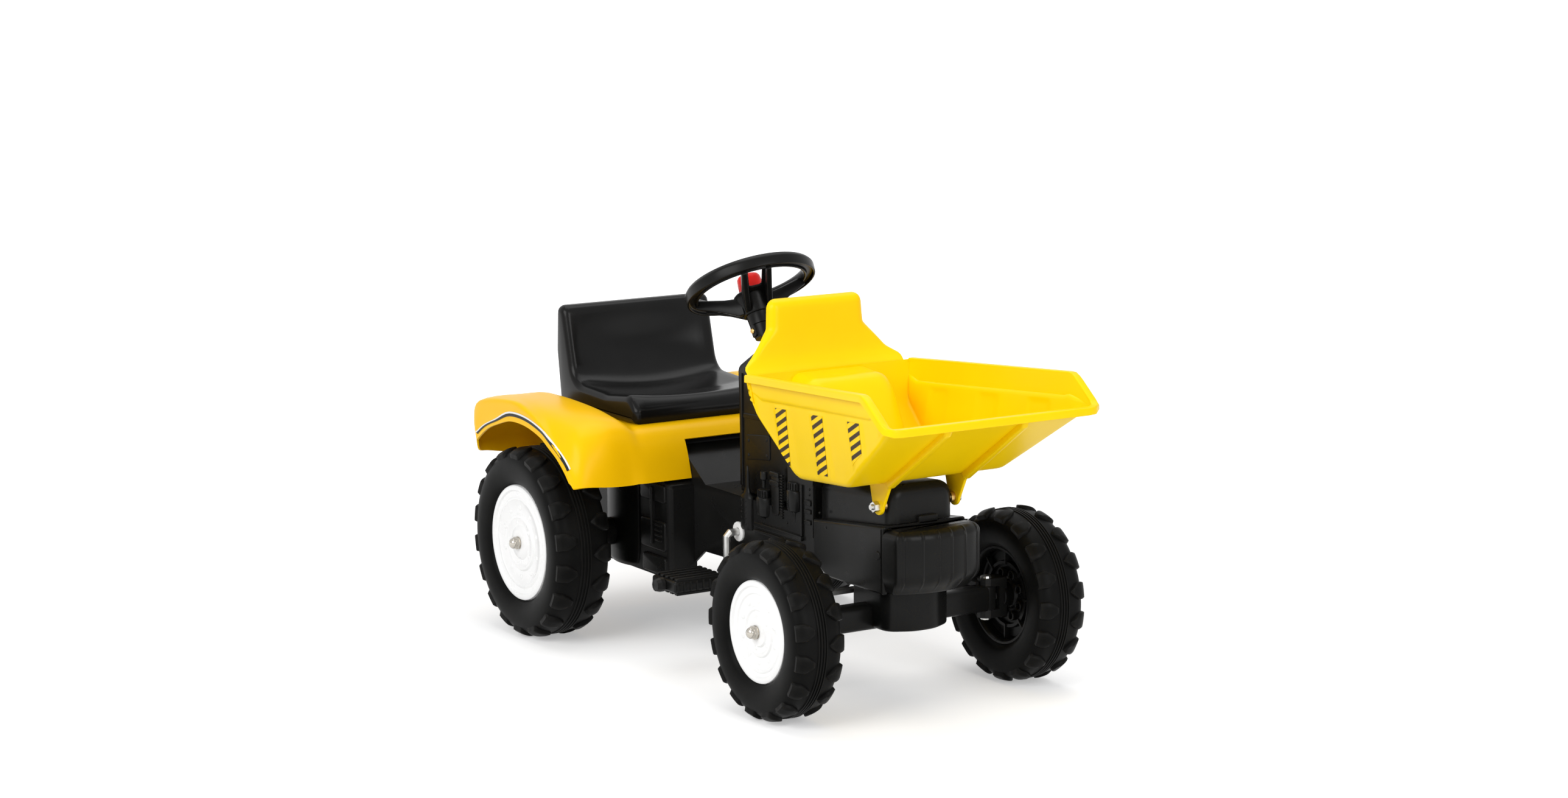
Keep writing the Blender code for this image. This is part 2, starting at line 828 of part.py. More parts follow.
def bumper_outline(inset=0.0):
    half = BUMPER_HALF_W - inset
    rear = NOSE_X + GAP + inset
    sagitta = BUMPER_FRONT - BUMPER_CORNER
    radius = (half**2 + sagitta**2) / (2 * sagitta)
    reach = math.degrees(math.asin(half / radius))
    centre = (BUMPER_FRONT - inset - radius, 0)
    return [(rear, -half)] + arc(centre, radius, -reach, reach, 12) + [(rear, half)]


def front_bumper():
    bumper = slab("front_bumper", [bumper_outline()], BUMPER_BOTTOM - FOOT, BUMPER_TOP, "XY")
    settle(round_edges(bumper, 0.005, 2, 50))
    room_top = BUMPER_TOP - WALL
    cut(bumper, slab("bumper_room", [bumper_outline(WALL)], BUMPER_BOTTOM - 2 * FOOT, room_top, "XY"))
    flat_foot(bumper, BUMPER_BOTTOM)
    return settle(bumper)


def column_outline(inset):
    rise = (COLUMN_SLOPE_END - COLUMN_REAR) * math.tan(STEER_TILT)
    return [
        (COLUMN_REAR + 0.006 + inset, SPINE_LOW_TOP - FOOT - inset),
        (COLUMN_FRONT - inset, SPINE_LOW_TOP - FOOT - inset),
        (COLUMN_FRONT - inset, 0.440),
        (0.405 - inset, 0.490 - inset),
        (COLUMN_SLOPE_END, COLUMN_REAR_TOP + rise - inset),
        (COLUMN_REAR + inset, COLUMN_REAR_TOP - inset),
    ]


def dash_column():
    column = slab("dash_column", [column_outline(0)], -COLUMN_HALF_W, COLUMN_HALF_W)
    settle(round_edges(column, 0.008, 2, 40))
    half = COLUMN_HALF_W - WALL
    cut(column, slab("column_room", [column_outline(WALL)], -half, half))
    flat_foot(column, SPINE_LOW_TOP + GAP)
    low = (steering_x(0.40), 0, 0.40)
    cut(column, drum("column_hole", (STEER_X, 0, STEER_Z), low, SHAFT_R + BUSH_WALL + GAP))
    return settle(column)


def column_bush(axis_matrix):
    """The bush where the shaft enters the column's sloped top, which lies square to the shaft."""
    rise = math.tan(STEER_TILT)
    entry = (STEER_X + STEER_Z * rise - COLUMN_REAR_TOP * rise + COLUMN_REAR * rise**2) / (1 + rise**2)
    height = COLUMN_REAR_TOP + (entry - COLUMN_REAR) * rise
    depth = -(STEER_Z - height) / math.cos(STEER_TILT)
    bore = SHAFT_R + GAP
    outer = SHAFT_R + BUSH_WALL
    profile = [
        (outer + BUSH_FLANGE, depth + GAP + BUSH_FLANGE_T),
        (outer + BUSH_FLANGE, depth + GAP),
        (outer, depth + GAP),
        (outer, depth - 0.012),
        (bore, depth - 0.012),
        (bore, depth + GAP + BUSH_FLANGE_T),
    ]
    return move(turned("column_bush", profile, 14, closed=True), axis_matrix)


# Rear cowl and seat


def arch(angle, grow):
    """A point of the wing's side at an angle about the rear axle, from the arch's edge outward."""
    knots = ((141, 0.216), (118, 0.195), (90, 0.182), (65, 0.176), (34.5, 0.182))
    radius = knots[0][1]
    for (high, r_high), (low, r_low) in zip(knots, knots[1:]):
        if low <= angle <= high:
            radius = between(r_low, r_high, (angle - low) / (high - low))
    radius += grow
    turn = math.radians(angle)
    return (radius * math.cos(turn), REAR_TYRE_R + radius * math.sin(turn))


def cowl_stations():
    """Side profiles of half the cowl, from the wing's edge to the middle, tail to apron."""
    angles = (141, 130, 118, 105, 90, 75, 65, 55, 45, 34.5)
    edge = [arch(angle, 0.0) for angle in angles]
    over = []
    for angle in angles[3:]:
        rise = (angle - angles[-1]) / (angles[0] - angles[-1])
        over.append(arch(angle, 0.004 + 0.046 * rise**1.3))
    band = [(-0.170, 0.287), (-0.177, 0.318), (-0.158, 0.346)] + over
    raised = [(x * 1.01 - 0.001, z + 0.003) for x, z in over]
    corner = [(-0.178, 0.267), (-0.186, 0.312), (-0.164, 0.350)] + raised
    tail = [(-0.187, 0.257), (-0.192, 0.305), (-0.172, 0.345), (-0.125, 0.360), (-0.060, 0.3625)]
    front = [(0.015, 0.3605), (0.075, 0.355), (0.120, 0.343), (0.142, 0.310), (0.157, 0.2545)]
    crest = tail + front
    tail = [(-0.192, 0.254), (-0.195, 0.298), (-0.181, 0.327), (-0.150, DECK_Z), (-0.060, DECK_Z)]
    front = [(0.010, DECK_Z), (0.070, DECK_Z), (0.118, DECK_Z - 0.001), (0.143, 0.305), (0.160, 0.2545)]
    deck = tail + front
    middle = [(x - (TAIL_REACH - 0.1945 if x < -0.17 else 0), z) for x, z in deck]
    return [
        (COWL_HALF_W, edge),
        (COWL_HALF_W - 0.001, band),
        (0.262, corner),
        (0.243, [(between(x, u, 0.6), between(z, v, 0.6) + 0.002) for (x, z), (u, v) in zip(corner, crest)]),
        (0.205, crest),
        (0.164, [(x, z - 0.001) for x, z in crest]),
        (0.146, deck),
        (0.0, middle),
    ]


def rear_cowl():
    shape = bmesh.new()
    rows = []
    for y, profile in cowl_stations():
        rows.append([shape.verts.new((x, y, z)) for x, z in profile])
    for outer, inner in zip(rows, rows[1:]):
        for step in range(len(outer) - 1):
            shape.faces.new((outer[step], inner[step], inner[step + 1], outer[step + 1]))
    bmesh.ops.recalc_face_normals(shape, faces=shape.faces)
    cowl = from_bmesh("rear_cowl", shape)
    mirror = cowl.modifiers.new("other_half", "MIRROR")
    mirror.use_axis = (False, True, False)
    mirror.use_clip = True
    mirror.merge_threshold = 0.00005
    skin = cowl.modifiers.new("wall", "SOLIDIFY")
    skin.thickness = COWL_T
    skin.offset = -1.0
    skin.use_even_offset = False
    settle(cowl)
    passage = block(
        "tunnel_passage", (0.10, -APRON_CUT_HALF_W, 0.2), (0.22, APRON_CUT_HALF_W, DECK_Z - 0.022)
    )
    cut(cowl, passage)
    for side in (-1, 1):
        top = DECK_Z + 0.05
        start = (SEAT_BOLT_X, side * SEAT_BOLT_Y, DECK_Z - 0.05)
        end = (SEAT_BOLT_X, side * SEAT_BOLT_Y, top)
        cut(cowl, drum(f"deck_hole_{side + 1}", start, end, 0.003 + GAP, 12))
    return settle(cowl)


def seat():
    seat_z = DECK_Z + GAP
    outline = [
        (SEAT_BACK + 0.012, seat_z),
        (SEAT_FRONT - 0.004, seat_z),
        (SEAT_FRONT, seat_z + 0.022, 0.012),
        (0.088, 0.380, 0.020),
        (0.010, 0.371, 0.060),
        (-0.094, 0.376, 0.030),
        (-0.124, SEAT_TOP - 0.002, 0.010),
        (SEAT_BACK + 0.004, SEAT_TOP, 0.012),
        (SEAT_BACK, 0.420, 0.050),
    ]
    form = slab("seat", [rounded(outline, 2)], -SEAT_HALF_W, SEAT_HALF_W)
    settle(round_edges(form, 0.012, 2, 60))
    room = [
        (SEAT_BACK + 0.026, seat_z - 0.02),
        (SEAT_FRONT - 0.010, seat_z - 0.02),
        (SEAT_FRONT - 0.010, 0.352),
        (0.080, 0.364),
        (-0.096, 0.364),
        (-0.126, 0.470),
        (SEAT_BACK + 0.014, 0.470),
        (SEAT_BACK + 0.012, 0.400),
    ]
    half = SEAT_BOLT_Y - 0.012
    cut(form, slab("seat_room", [room], -half, half))
    for side in (-1, 1):
        start = (SEAT_BOLT_X, side * SEAT_BOLT_Y, seat_z - 0.02)
        end = (SEAT_BOLT_X, side * SEAT_BOLT_Y, seat_z + 0.014)
        cut(form, drum(f"seat_hole_{side + 1}", start, end, 0.003 + GAP, 12))
    return settle(form)


def seat_bolt(name, side):
    """A hexagon-headed bolt, up through the deck into the seat."""
    under = DECK_Z - COWL_T - GAP
    place = (SEAT_BOLT_X, side * SEAT_BOLT_Y)
    bolt = drum(name, (*place, under - 0.004), (*place, under), 0.006, 6)
    join(bolt, drum(name + "_shank", (*place, under - 0.002), (*place, DECK_Z + 0.013), 0.003, 12))
    return settle(bolt)


# Front axle and steering


def front_axle_beam():
    """The central boss under the nose, with an arm and an upright eye at each end."""
    boss = [
        (WHEELBASE + BOSS_REAR, -BOSS_HALF_W, 0.010),
        (WHEELBASE + BOSS_FRONT - 0.014, -BOSS_HALF_W, 0.016),
        (WHEELBASE + BOSS_FRONT, -0.020, 0.040),
        (WHEELBASE + BOSS_FRONT, 0.020, 0.040),
        (WHEELBASE + BOSS_FRONT - 0.014, BOSS_HALF_W, 0.016),
        (WHEELBASE + BOSS_REAR, BOSS_HALF_W, 0.010),
    ]
    top = NOSE_BOTTOM - GAP
    beam = slab("front_axle_beam", [rounded(boss)], BOSS_BOTTOM, top, "XY")
    settle(round_edges(beam, 0.004, 1, 60))
    low, high = BEAM_Z
    for side in (-1, 1):
        arm_low = (WHEELBASE - 0.014, min(side * 0.04, side * KINGPIN_Y), low)
        arm_high = (WHEELBASE + 0.014, max(side * 0.04, side * KINGPIN_Y), high)
        join(beam, block(f"arm_{side + 1}", arm_low, arm_high))
        eye = (WHEELBASE, side * KINGPIN_Y)
        join(beam, drum(f"eye_{side + 1}", (*eye, low), (*eye, high), EYE_R, 14))
    settle(beam)
    for side in (-1, 1):
        eye = (WHEELBASE, side * KINGPIN_Y)
        hole = KINGPIN_R + GAP
        cut(beam, drum(f"eye_hole_{side + 1}", (*eye, low - 0.02), (*eye, high + 0.02), hole, 12))
    start = (WHEELBASE, 0, BOSS_BOTTOM - 0.01)
    end = (WHEELBASE, 0, top + 0.01)
    cut(beam, drum("bolt_hole", start, end, AXLE_BOLT_R + GAP))
    return settle(beam)


def axle_bolt():
    """Holds the beam's boss up to the chassis."""
    under = BOSS_BOTTOM - GAP
    top = NOSE_BOTTOM + 0.018
    bolt = drum("axle_bolt", (WHEELBASE, 0, under - 0.006), (WHEELBASE, 0, under), 0.008, 6)
    join(bolt, drum("axle_bolt_shank", (WHEELBASE, 0, under - 0.002), (WHEELBASE, 0, top), AXLE_BOLT_R))
    return settle(bolt)


def knuckle():
    """The left knuckle: a fork over the beam's eye, a housing for the stub axle and a steering arm."""
    low, high = BEAM_Z
    ear_z = ((low - GAP - KNUCKLE_EAR_T, low - GAP), (high + GAP, high + GAP + KNUCKLE_EAR_T))
    out = KNUCKLE_INNER
    piece = block(
        "knuckle_left",
        (WHEELBASE - 0.013, out, ear_z[0][0]),
        (WHEELBASE + 0.013, KNUCKLE_FACE, ear_z[1][1]),
    )
    for index, (bottom, top) in enumerate(ear_z):
        outline = arc((WHEELBASE, KINGPIN_Y), 0.013, 180, 360, 5)
        outline += [(WHEELBASE + 0.013, out + 0.006), (WHEELBASE - 0.013, out + 0.006)]
        join(piece, slab(f"ear_{index}", [outline], bottom, top, "XY"))
    arm_y = KINGPIN_Y - ARM_OFFSET
    tip_x = WHEELBASE - KNUCKLE_ARM - ARM_SLOT_REAR - ARM_WALL
    arm = [
        (WHEELBASE, arm_y - ARM_SLOT_IN - ARM_WALL),
        (WHEELBASE, arm_y + ARM_SLOT_OUT + ARM_WALL),
        (tip_x, arm_y + ARM_SLOT_OUT + ARM_WALL, 0.006),
        (tip_x, arm_y - ARM_SLOT_IN - ARM_WALL, 0.006),
    ]
    arm_top = TIE_BOTTOM - GAP
    join(piece, slab("steering_arm", [rounded(arm, 2)], high + GAP, arm_top, "XY"))
    settle(piece)
    pin = (WHEELBASE, KINGPIN_Y)
    cut(piece, drum("kingpin_hole", (*pin, low - 0.03), (*pin, high + 0.03), KINGPIN_R + GAP, 12))
    slot_x = WHEELBASE - KNUCKLE_ARM
    slot_low = (slot_x - ARM_SLOT_REAR, arm_y - ARM_SLOT_IN, high - 0.01)
    slot_high = (slot_x + ARM_SLOT_FRONT, arm_y + ARM_SLOT_OUT, high + 0.03)
    cut(piece, block("arm_slot", slot_low, slot_high))
    stub = (WHEELBASE, KNUCKLE_FACE + 0.01, FRONT_TYRE_R)
    cut(piece, drum("stub_hole", (WHEELBASE, out - 0.01, FRONT_TYRE_R), stub, AXLE_R + GAP, 14))
    return settle(piece)


def kingpin():
    """A plain pin with a flat head on the upper ear and a collar under the lower one."""
    low = BEAM_Z[0] - GAP - KNUCKLE_EAR_T - GAP
    high = KNUCKLE_TOP + GAP
    profile = [
        (0.0, high + 0.003),
        (0.0075, high + 0.0025),
        (0.0085, high),
        (KINGPIN_R, high),
        (KINGPIN_R, low),
        (0.0075, low),
        (0.0075, low - 0.003),
        (0.0, low - 0.003),
    ]
    return move(turned("kingpin_left", profile, 12), Matrix.Translation((WHEELBASE, KINGPIN_Y, 0)))


def stub_axle():
    start = (WHEELBASE, KNUCKLE_INNER + 0.0005, FRONT_TYRE_R)
    end = (WHEELBASE, FRONT_WHEEL_Y + FRONT_DISC_FACE + NUT_H * 0.6, FRONT_TYRE_R)
    return drum("stub_axle_left", start, end, AXLE_R, 14)


def tie_rod():
    """The bar that joins both steering arms, with a long tongue back to the shaft's pin."""
    x = WHEELBASE - KNUCKLE_ARM
    half = KINGPIN_Y - ARM_OFFSET
    pin_x = slot_centre()
    outline = [
        (x - 0.008, -half - 0.008, 0.005),
        (x + 0.008, -half - 0.008, 0.005),
        (x + 0.008, half + 0.008, 0.005),
        (x - 0.008, half + 0.008, 0.005),
        (x - 0.008, 0.012, 0.010),
        (pin_x - 0.016, 0.012, 0.006),
        (pin_x - 0.016, -0.012, 0.006),
        (x - 0.008, -0.012, 0.010),
    ]
    piece = slab("tie_rod", [rounded(outline, 2)], TIE_BOTTOM, TIE_TOP, "XY")
    play = SHAFT_R + PIN_SIDE_PLAY
    low = (pin_x - PIN_SLOT_REAR, -play, TIE_BOTTOM - 0.01)
    high = (pin_x + PIN_SLOT_FRONT, play, TIE_TOP + 0.01)
    cut(piece, block("pin_slot", low, high))
    for side in (-1, 1):
        end = (x, side * half, TIE_BOTTOM - 0.0066)
        neck = (x, side * half, TIE_TOP - 0.001)
        head = (x, side * half, TIE_TOP + 0.002)
        join(piece, drum(f"pin_{side + 1}", end, neck, 0.003, 12))
        join(piece, drum(f"pin_head_{side + 1}", neck, head, 0.005, 12))
    return settle(piece)


def slot_centre():
    """Where the shaft's pin crosses the tongue of the tie rod."""
    tip_z = STEER_Z - SHAFT_L * math.cos(STEER_TILT) - SHAFT_CRANK * math.sin(STEER_TILT)
    tip_x = STEER_X + SHAFT_L * math.sin(STEER_TILT) - SHAFT_CRANK * math.cos(STEER_TILT)
    middle = (TIE_BOTTOM + TIE_TOP) / 2
    return tip_x + (tip_z - middle) * math.tan(STEER_TILT)


def steering_shaft():
    """The bent rod, drawn along its own axis: straight, a crank to the rear, and a pin."""
    bend = 0.008
    points = [
        (0, 0, -0.030),
        (0, 0, -SHAFT_L + bend),
        (-bend, 0, -SHAFT_L),
        (-SHAFT_CRANK + bend, 0, -SHAFT_L),
        (-SHAFT_CRANK, 0, -SHAFT_L - bend),
        (-SHAFT_CRANK, 0, -SHAFT_L - SHAFT_PIN_L),
    ]
    return rod("steering_shaft", points, SHAFT_R)


def steering_wheel():
    """A round rim, three windowed spokes, and a hub that runs down into a sleeve."""
    bpy.ops.mesh.primitive_torus_add(
        major_segments=28, minor_segments=6, major_radius=RING_R, minor_radius=RING_SECTION
    )
    wheel = bpy.context.active_object
    wheel.name = "steering_wheel"
    wheel.data.name = "steering_wheel"
    for collection in wheel.users_collection:
        collection.objects.unlink(wheel)
    MODEL.objects.link(wheel)
    hub = [
        (0.026, 0.004),
        (0.031, 0.0),
        (0.031, -0.010),
        (0.019, -0.034),
        (SLEEVE_R, -0.040),
        (SLEEVE_R, -SLEEVE_L),
        (SHAFT_R + GAP, -SLEEVE_L),
        (SHAFT_R + GAP, -0.0215),
        (BUTTON_R + GAP, -0.0215),
        (BUTTON_R + GAP, 0.004),
    ]
    join(wheel, turned("hub", hub, 18, closed=True))
    for spoke in range(3):
        turn = Matrix.Rotation(math.radians(120 * spoke), 4, "Z")
        arm = [(0.026, -0.019), (RING_R - 0.004, -0.026), (RING_R - 0.004, 0.026), (0.026, 0.019)]
        window = rounded(
            [(0.040, -0.009, 0.005), (0.074, -0.012, 0.006), (0.074, 0.012, 0.006), (0.040, 0.009, 0.005)], 2
        )
        join(wheel, move(slab(f"spoke_{spoke}", [arm, window], -0.007, 0.001, "XY"), turn))
    settle(wheel)
    cut(wheel, drum("screw_hole", (0, -0.03, SCREW_Z), (0, 0.03, SCREW_Z), SCREW_R + GAP, 10))
    return settle(wheel)


def wheel_screw():
    """The cross screw in the sleeve's outer side; it stops short of the shaft."""
    head = SLEEVE_R + GAP
    screw = drum("wheel_screw", (0, -head, SCREW_Z), (0, -head - 0.0025, SCREW_Z), 0.0042, 12, 0.0034)
    start = (0, -head - 0.001, SCREW_Z)
    join(screw, drum("screw_shank", start, (0, -SHAFT_R - 0.0006, SCREW_Z), SCREW_R, 10))
    return settle(screw)


def horn_button():
    """A domed button in the hub's well, which presses down along the steering axis."""
    floor = -0.0215 + GAP + BUTTON_TRAVEL
    profile = [
        (0.0, 0.0125),
        (0.008, 0.0115),
        (0.014, 0.008),
        (BUTTON_R, 0.0035),
        (BUTTON_R, floor),
        (0.0, floor),
    ]
    return turned("horn_button", profile, 18)


# Bucket


def wall_lines(inset):
    """The side profile's corners with every wall moved inward: back, heel, floor and front slope."""
    corners = [Vector(corner[:2]) for corner in (RIM_BACK, BACK_LOW, FLOOR_BACK, FLOOR_FRONT, LIP)]
    walls = []
    for start, end in zip(corners, corners[1:]):
        along = (end - start).normalized()
        inward = Vector((-along.y, along.x)) * inset
        walls.append((start + inward, along))
    moved = [walls[0][0]]
    for (start, along), (other, other_along) in zip(walls, walls[1:]):
        gap = other - start
        reach = (gap.x * other_along.y - gap.y * other_along.x) / along.cross(other_along)
        moved.append(start + along * reach)
    last = walls[-1]
    moved.append(last[0] + last[1] * (corners[-1] - corners[-2]).length)
    return moved


def bucket_form(name, inset, rounding):
    """The bucket's form as a solid. With an inset it is the space inside, drawn on past the mouth."""
    halves = [corner[2] - inset for corner in (RIM_BACK, BACK_LOW, FLOOR_BACK, FLOOR_FRONT, LIP)]
    corners = wall_lines(inset)
    mouth = Vector(RIM_FRONT[:2])
    if inset:
        corners[0] += (corners[0] - corners[1]).normalized() * MOUTH_OVERSHOOT
        corners[-1] += (corners[-1] - corners[-2]).normalized() * MOUTH_OVERSHOOT
        mouth += Vector((MOUTH_OVERSHOOT, MOUTH_OVERSHOOT * 2))
    shape = bmesh.new()
    profile = [(corner.x, corner.y, half) for corner, half in zip(corners, halves)]
    profile.append((mouth.x, mouth.y, RIM_FRONT[2] - inset))
    left = [shape.verts.new((x, half, z)) for x, z, half in profile]
    right = [shape.verts.new((x, -half, z)) for x, z, half in profile]
    shape.faces.new(left)
    shape.faces.new(list(reversed(right)))
    count = len(profile)
    open_faces = []
    for step in range(count):
        after = (step + 1) % count
        face = shape.faces.new((left[after], left[step], right[step], right[after]))
        if step >= count - 2:
            open_faces.append(face)
    bmesh.ops.recalc_face_normals(shape, faces=shape.faces)
    folds = [edge for edge in shape.edges if not any(face in open_faces for face in edge.link_faces)]
    bmesh.ops.bevel(shape, geom=folds, offset=rounding, segments=2, profile=0.5, affect="EDGES")
    bmesh.ops.triangulate(shape, faces=shape.faces)
    bmesh.ops.recalc_face_normals(shape, faces=shape.faces)
    return from_bmesh(name, shape)


def hump_outline(inset):
    """The recess in the bucket's heel that clears the column, seen from the side."""
    front = HUMP_TOP_X + inset
    return [
        (0.380, 0.250),
        (0.610, 0.250),
        (0.566 + inset, 0.322),
        (front, HUMP_TOP_Z + inset),
        (0.380, HUMP_TOP_Z + inset),
    ]


def ear(name, side):
    """A pivot ear under the floor, carried on as a rib up the front slope."""
    tip = arc((PIVOT_X, PIVOT_Z), EAR_R, 190, 355, 8)
    slope = Vector((LIP[0] - FLOOR_FRONT[0], LIP[1] - FLOOR_FRONT[1])).normalized()
    down = Vector((slope.y, -slope.x)) * 0.009
    outline = [(0.655, 0.3335)]
    outline += tip
    outline += [
        (FLOOR_FRONT[0] + down.x, FLOOR_FRONT[1] + down.y),
        (LIP[0] - 0.020 + down.x * 0.5, LIP[1] - 0.016 + down.y * 0.5),
        (LIP[0] - 0.010, LIP[1] - 0.0045),
        (FLOOR_FRONT[0], FLOOR_FRONT[1] + 0.001),
    ]
    near = min(side * EAR_Y, side * (EAR_Y + EAR_T))
    far = max(side * EAR_Y, side * (EAR_Y + EAR_T))
    return slab(name, [outline], near, far)


def bucket():
    """The moulding: form less its inside, with the hump, headboard, rolled rim, ears and ribs."""
    half = HUMP_HALF_W
    shell = bucket_form("bucket", 0.0, BUCKET_ROUNDING)
    cut(shell, slab("hump_space", [hump_outline(0.0)], -half, half))
    inside = bucket_form("bucket_room", BUCKET_T, BUCKET_ROUNDING - BUCKET_T)
    cut(inside, slab("hump_hood", [hump_outline(BUCKET_T)], -half - BUCKET_T, half + BUCKET_T))
    settle(inside)
    cut(shell, inside)
    settle(shell)
    join(shell, headboard())
    rim_points = [(x, across, z) for x, z, across in (LIP, RIM_FRONT, RIM_BACK)]
    other = [(x, -across, z) for x, across, z in reversed(rim_points)]
    join(shell, rod("rim_roll", rim_points, RIM_R, 1), rod("rim_roll_right", other, RIM_R, 1))
    lip = [(LIP[0], -LIP[2], LIP[1]), (LIP[0], LIP[2], LIP[1])]
    join(shell, rod("lip_roll", lip, RIM_R * 0.96, 1))
    for side in (-1, 1):
        join(shell, ear(f"ear_{side + 1}", side))
    settle(shell)
    for side in (-1, 1):
        start = (PIVOT_X, side * (EAR_Y - 0.02), PIVOT_Z)
        end = (PIVOT_X, side * (EAR_Y + EAR_T + 0.02), PIVOT_Z)
        cut(shell, drum(f"ear_hole_{side + 1}", start, end, PIVOT_R + GAP, 16))
    return settle(shell)


def headboard():
    """The raised back plate with its waist, leaning back a little."""
    foot_x = RIM_BACK[0] - 0.012
    lean = (foot_x - HEADBOARD_TOP_X) / (HEADBOARD_TOP_Z - RIM_BACK[1])
    half = [
        (RIM_BACK[2] - 0.004, RIM_BACK[1] - 0.012),
        (RIM_BACK[2], RIM_BACK[1] + 0.002),
        (0.119, 0.4785, 0.02),
        (0.078, 0.512, 0.02),
        (HEADBOARD_HALF_W, HEADBOARD_TOP_Z, 0.012),
    ]
    other = [(-corner[0], *corner[1:]) for corner in reversed(half)]
    plate = slab("headboard", [rounded(half + other, 3)], -BUCKET_T / 2, BUCKET_T / 2, "YZ")
    shear = Matrix.Identity(4)
    shear[0][2] = -lean
    shear[0][3] = RIM_BACK[0] - 0.001 + lean * (RIM_BACK[1] - 0.006)
    return move(plate, shear)


def pivot_rod():
    """The rod the bucket tips on, headed at its left end."""
    reach = EAR_Y + EAR_T + GAP
    start = (PIVOT_X, -reach - 0.012, PIVOT_Z)
    head = (PIVOT_X, reach, PIVOT_Z)
    piece = drum("pivot_rod", start, (PIVOT_X, reach + 0.002, PIVOT_Z), PIVOT_R, 16)
    join(piece, drum("pivot_head", head, (PIVOT_X, reach + 0.005, PIVOT_Z), 0.0075, 16))
    return settle(piece)


def pivot_nut():
    reach = EAR_Y + EAR_T + GAP
    start = (PIVOT_X, -reach, PIVOT_Z)
    end = (PIVOT_X, -reach - 0.008, PIVOT_Z)
    piece = drum("pivot_nut", start, end, 0.0078, 6)
    cut(piece, drum("nut_hole", (PIVOT_X, 0, PIVOT_Z), (PIVOT_X, -0.2, PIVOT_Z), PIVOT_R + GAP, 16))
    return settle(piece)


def pivot_spacer(name, side):
    start = COVER_HALF_W + GAP
    profile = [
        (0.0075, EAR_Y - GAP),
        (0.0075, start),
        (PIVOT_R + GAP, start),
        (PIVOT_R + GAP, EAR_Y - GAP),
    ]
    return sideways(turned(name, profile, 16, closed=True), (PIVOT_X, 0, PIVOT_Z), out=side)


# Assembly


def add(obj, finish, carrier, datum, angle=40):
    paint(obj, finish)
    shade(obj, angle)
    carried(obj, carrier, datum)


def build_fixed(datum):
    add(chassis(), "black_plastic", datum, datum)
    add(engine_cover(), "black_plastic", datum, datum)
    add(front_bumper(), "black_plastic", datum, datum)
    add(dash_column(), "black_plastic", datum, datum)
    add(rear_cowl(), "yellow_plastic", datum, datum)
    add(seat(), "gloss_black", datum, datum)
    add(seat_bolt("seat_bolt_left", 1), "zinc_steel", datum, datum)
    add(seat_bolt("seat_bolt_right", -1), "zinc_steel", datum, datum)
    add(front_axle_beam(), "black_plastic", datum, datum)
    add(axle_bolt(), "zinc_steel", datum, datum)
    left = kingpin()
    add(mirrored(left, "kingpin_right"), "zinc_steel", datum, datum)
    add(left, "zinc_steel", datum, datum)
    for name, shaft_r, half, place in (
        ("axle_bush", AXLE_R, AXLE_BOSS_END, (0.0, REAR_TYRE_R)),
        ("crank_bush", CRANK_R, SPINE_HALF_W, (CRANK_X, CRANK_Z)),
    ):
        left = bush(name + "_left", shaft_r, half, 0.014, place)
        add(mirrored(left, name + "_right"), "white_plastic", datum, datum)
        add(left, "white_plastic", datum, datum)
    add(pivot_rod(), "zinc_steel", datum, datum)
    add(pivot_nut(), "zinc_steel", datum, datum)
    add(pivot_spacer("pivot_spacer_left", 1), "brass", datum, datum)
    add(pivot_spacer("pivot_spacer_right", -1), "brass", datum, datum)
    rear = (0.0, REAR_TYRE_R)
    front = (CRANK_X, CRANK_Z)
    add(drive_chain(rear, front), "zinc_steel", datum, datum)


def build_wheels(datum):
    rear = wheel_set(
        "rear",
        REAR_TYRE_R,
        REAR_TYRE_W,
        REAR_WHEEL_Y,
        REAR_RIM_R,
        REAR_DISC_FACE,
        REAR_HUB_BACK,
        REAR_LUGS,
        0.0,
    )
    drive = empty("drive_axle_axis", (0, -REAR_WHEEL_Y, REAR_TYRE_R), datum)
    free = empty("rear_wheel_left_axis", (0, REAR_WHEEL_Y, REAR_TYRE_R), datum)
    end = REAR_WHEEL_Y + REAR_DISC_FACE + NUT_H * 0.6
    add(drum("rear_axle", (0, -end, REAR_TYRE_R), (0, end, REAR_TYRE_R), AXLE_R), "zinc_steel", drive, datum)
    sprocket_bore = AXLE_R + GAP
    add(sprocket("rear_sprocket", (0, REAR_TYRE_R), REAR_TEETH, sprocket_bore), "zinc_steel", drive, datum)
    for side, axis in (("right", drive), ("left", free)):
        for piece in rear[side]:
            carried(piece, axis, datum)
    front = wheel_set(
        "front",
        FRONT_TYRE_R,
        FRONT_TYRE_W,
        FRONT_WHEEL_Y,
        FRONT_RIM_R,
        FRONT_DISC_FACE,
        FRONT_HUB_BACK,
        FRONT_LUGS,
        WHEELBASE,
    )
    left_knuckle = knuckle()
    left_stub = stub_axle()
    pieces = {
        "left": (left_knuckle, left_stub),
        "right": (mirrored(left_knuckle, "knuckle_right"), mirrored(left_stub, "stub_axle_right")),
    }
    for side, sign in (("left", 1), ("right", -1)):
        steer = empty(f"knuckle_{side}_axis", (WHEELBASE, sign * KINGPIN_Y, FRONT_TYRE_R), datum)
        add(pieces[side][0], "black_plastic", steer, datum)
        add(pieces[side][1], "zinc_steel", steer, datum)
        out = FRONT_WHEEL_Y - KINGPIN_Y
        roll = empty(f"front_wheel_{side}_axis", (0, sign * out, 0), steer)
        for piece in front[side]:
            carried(piece, roll, datum)


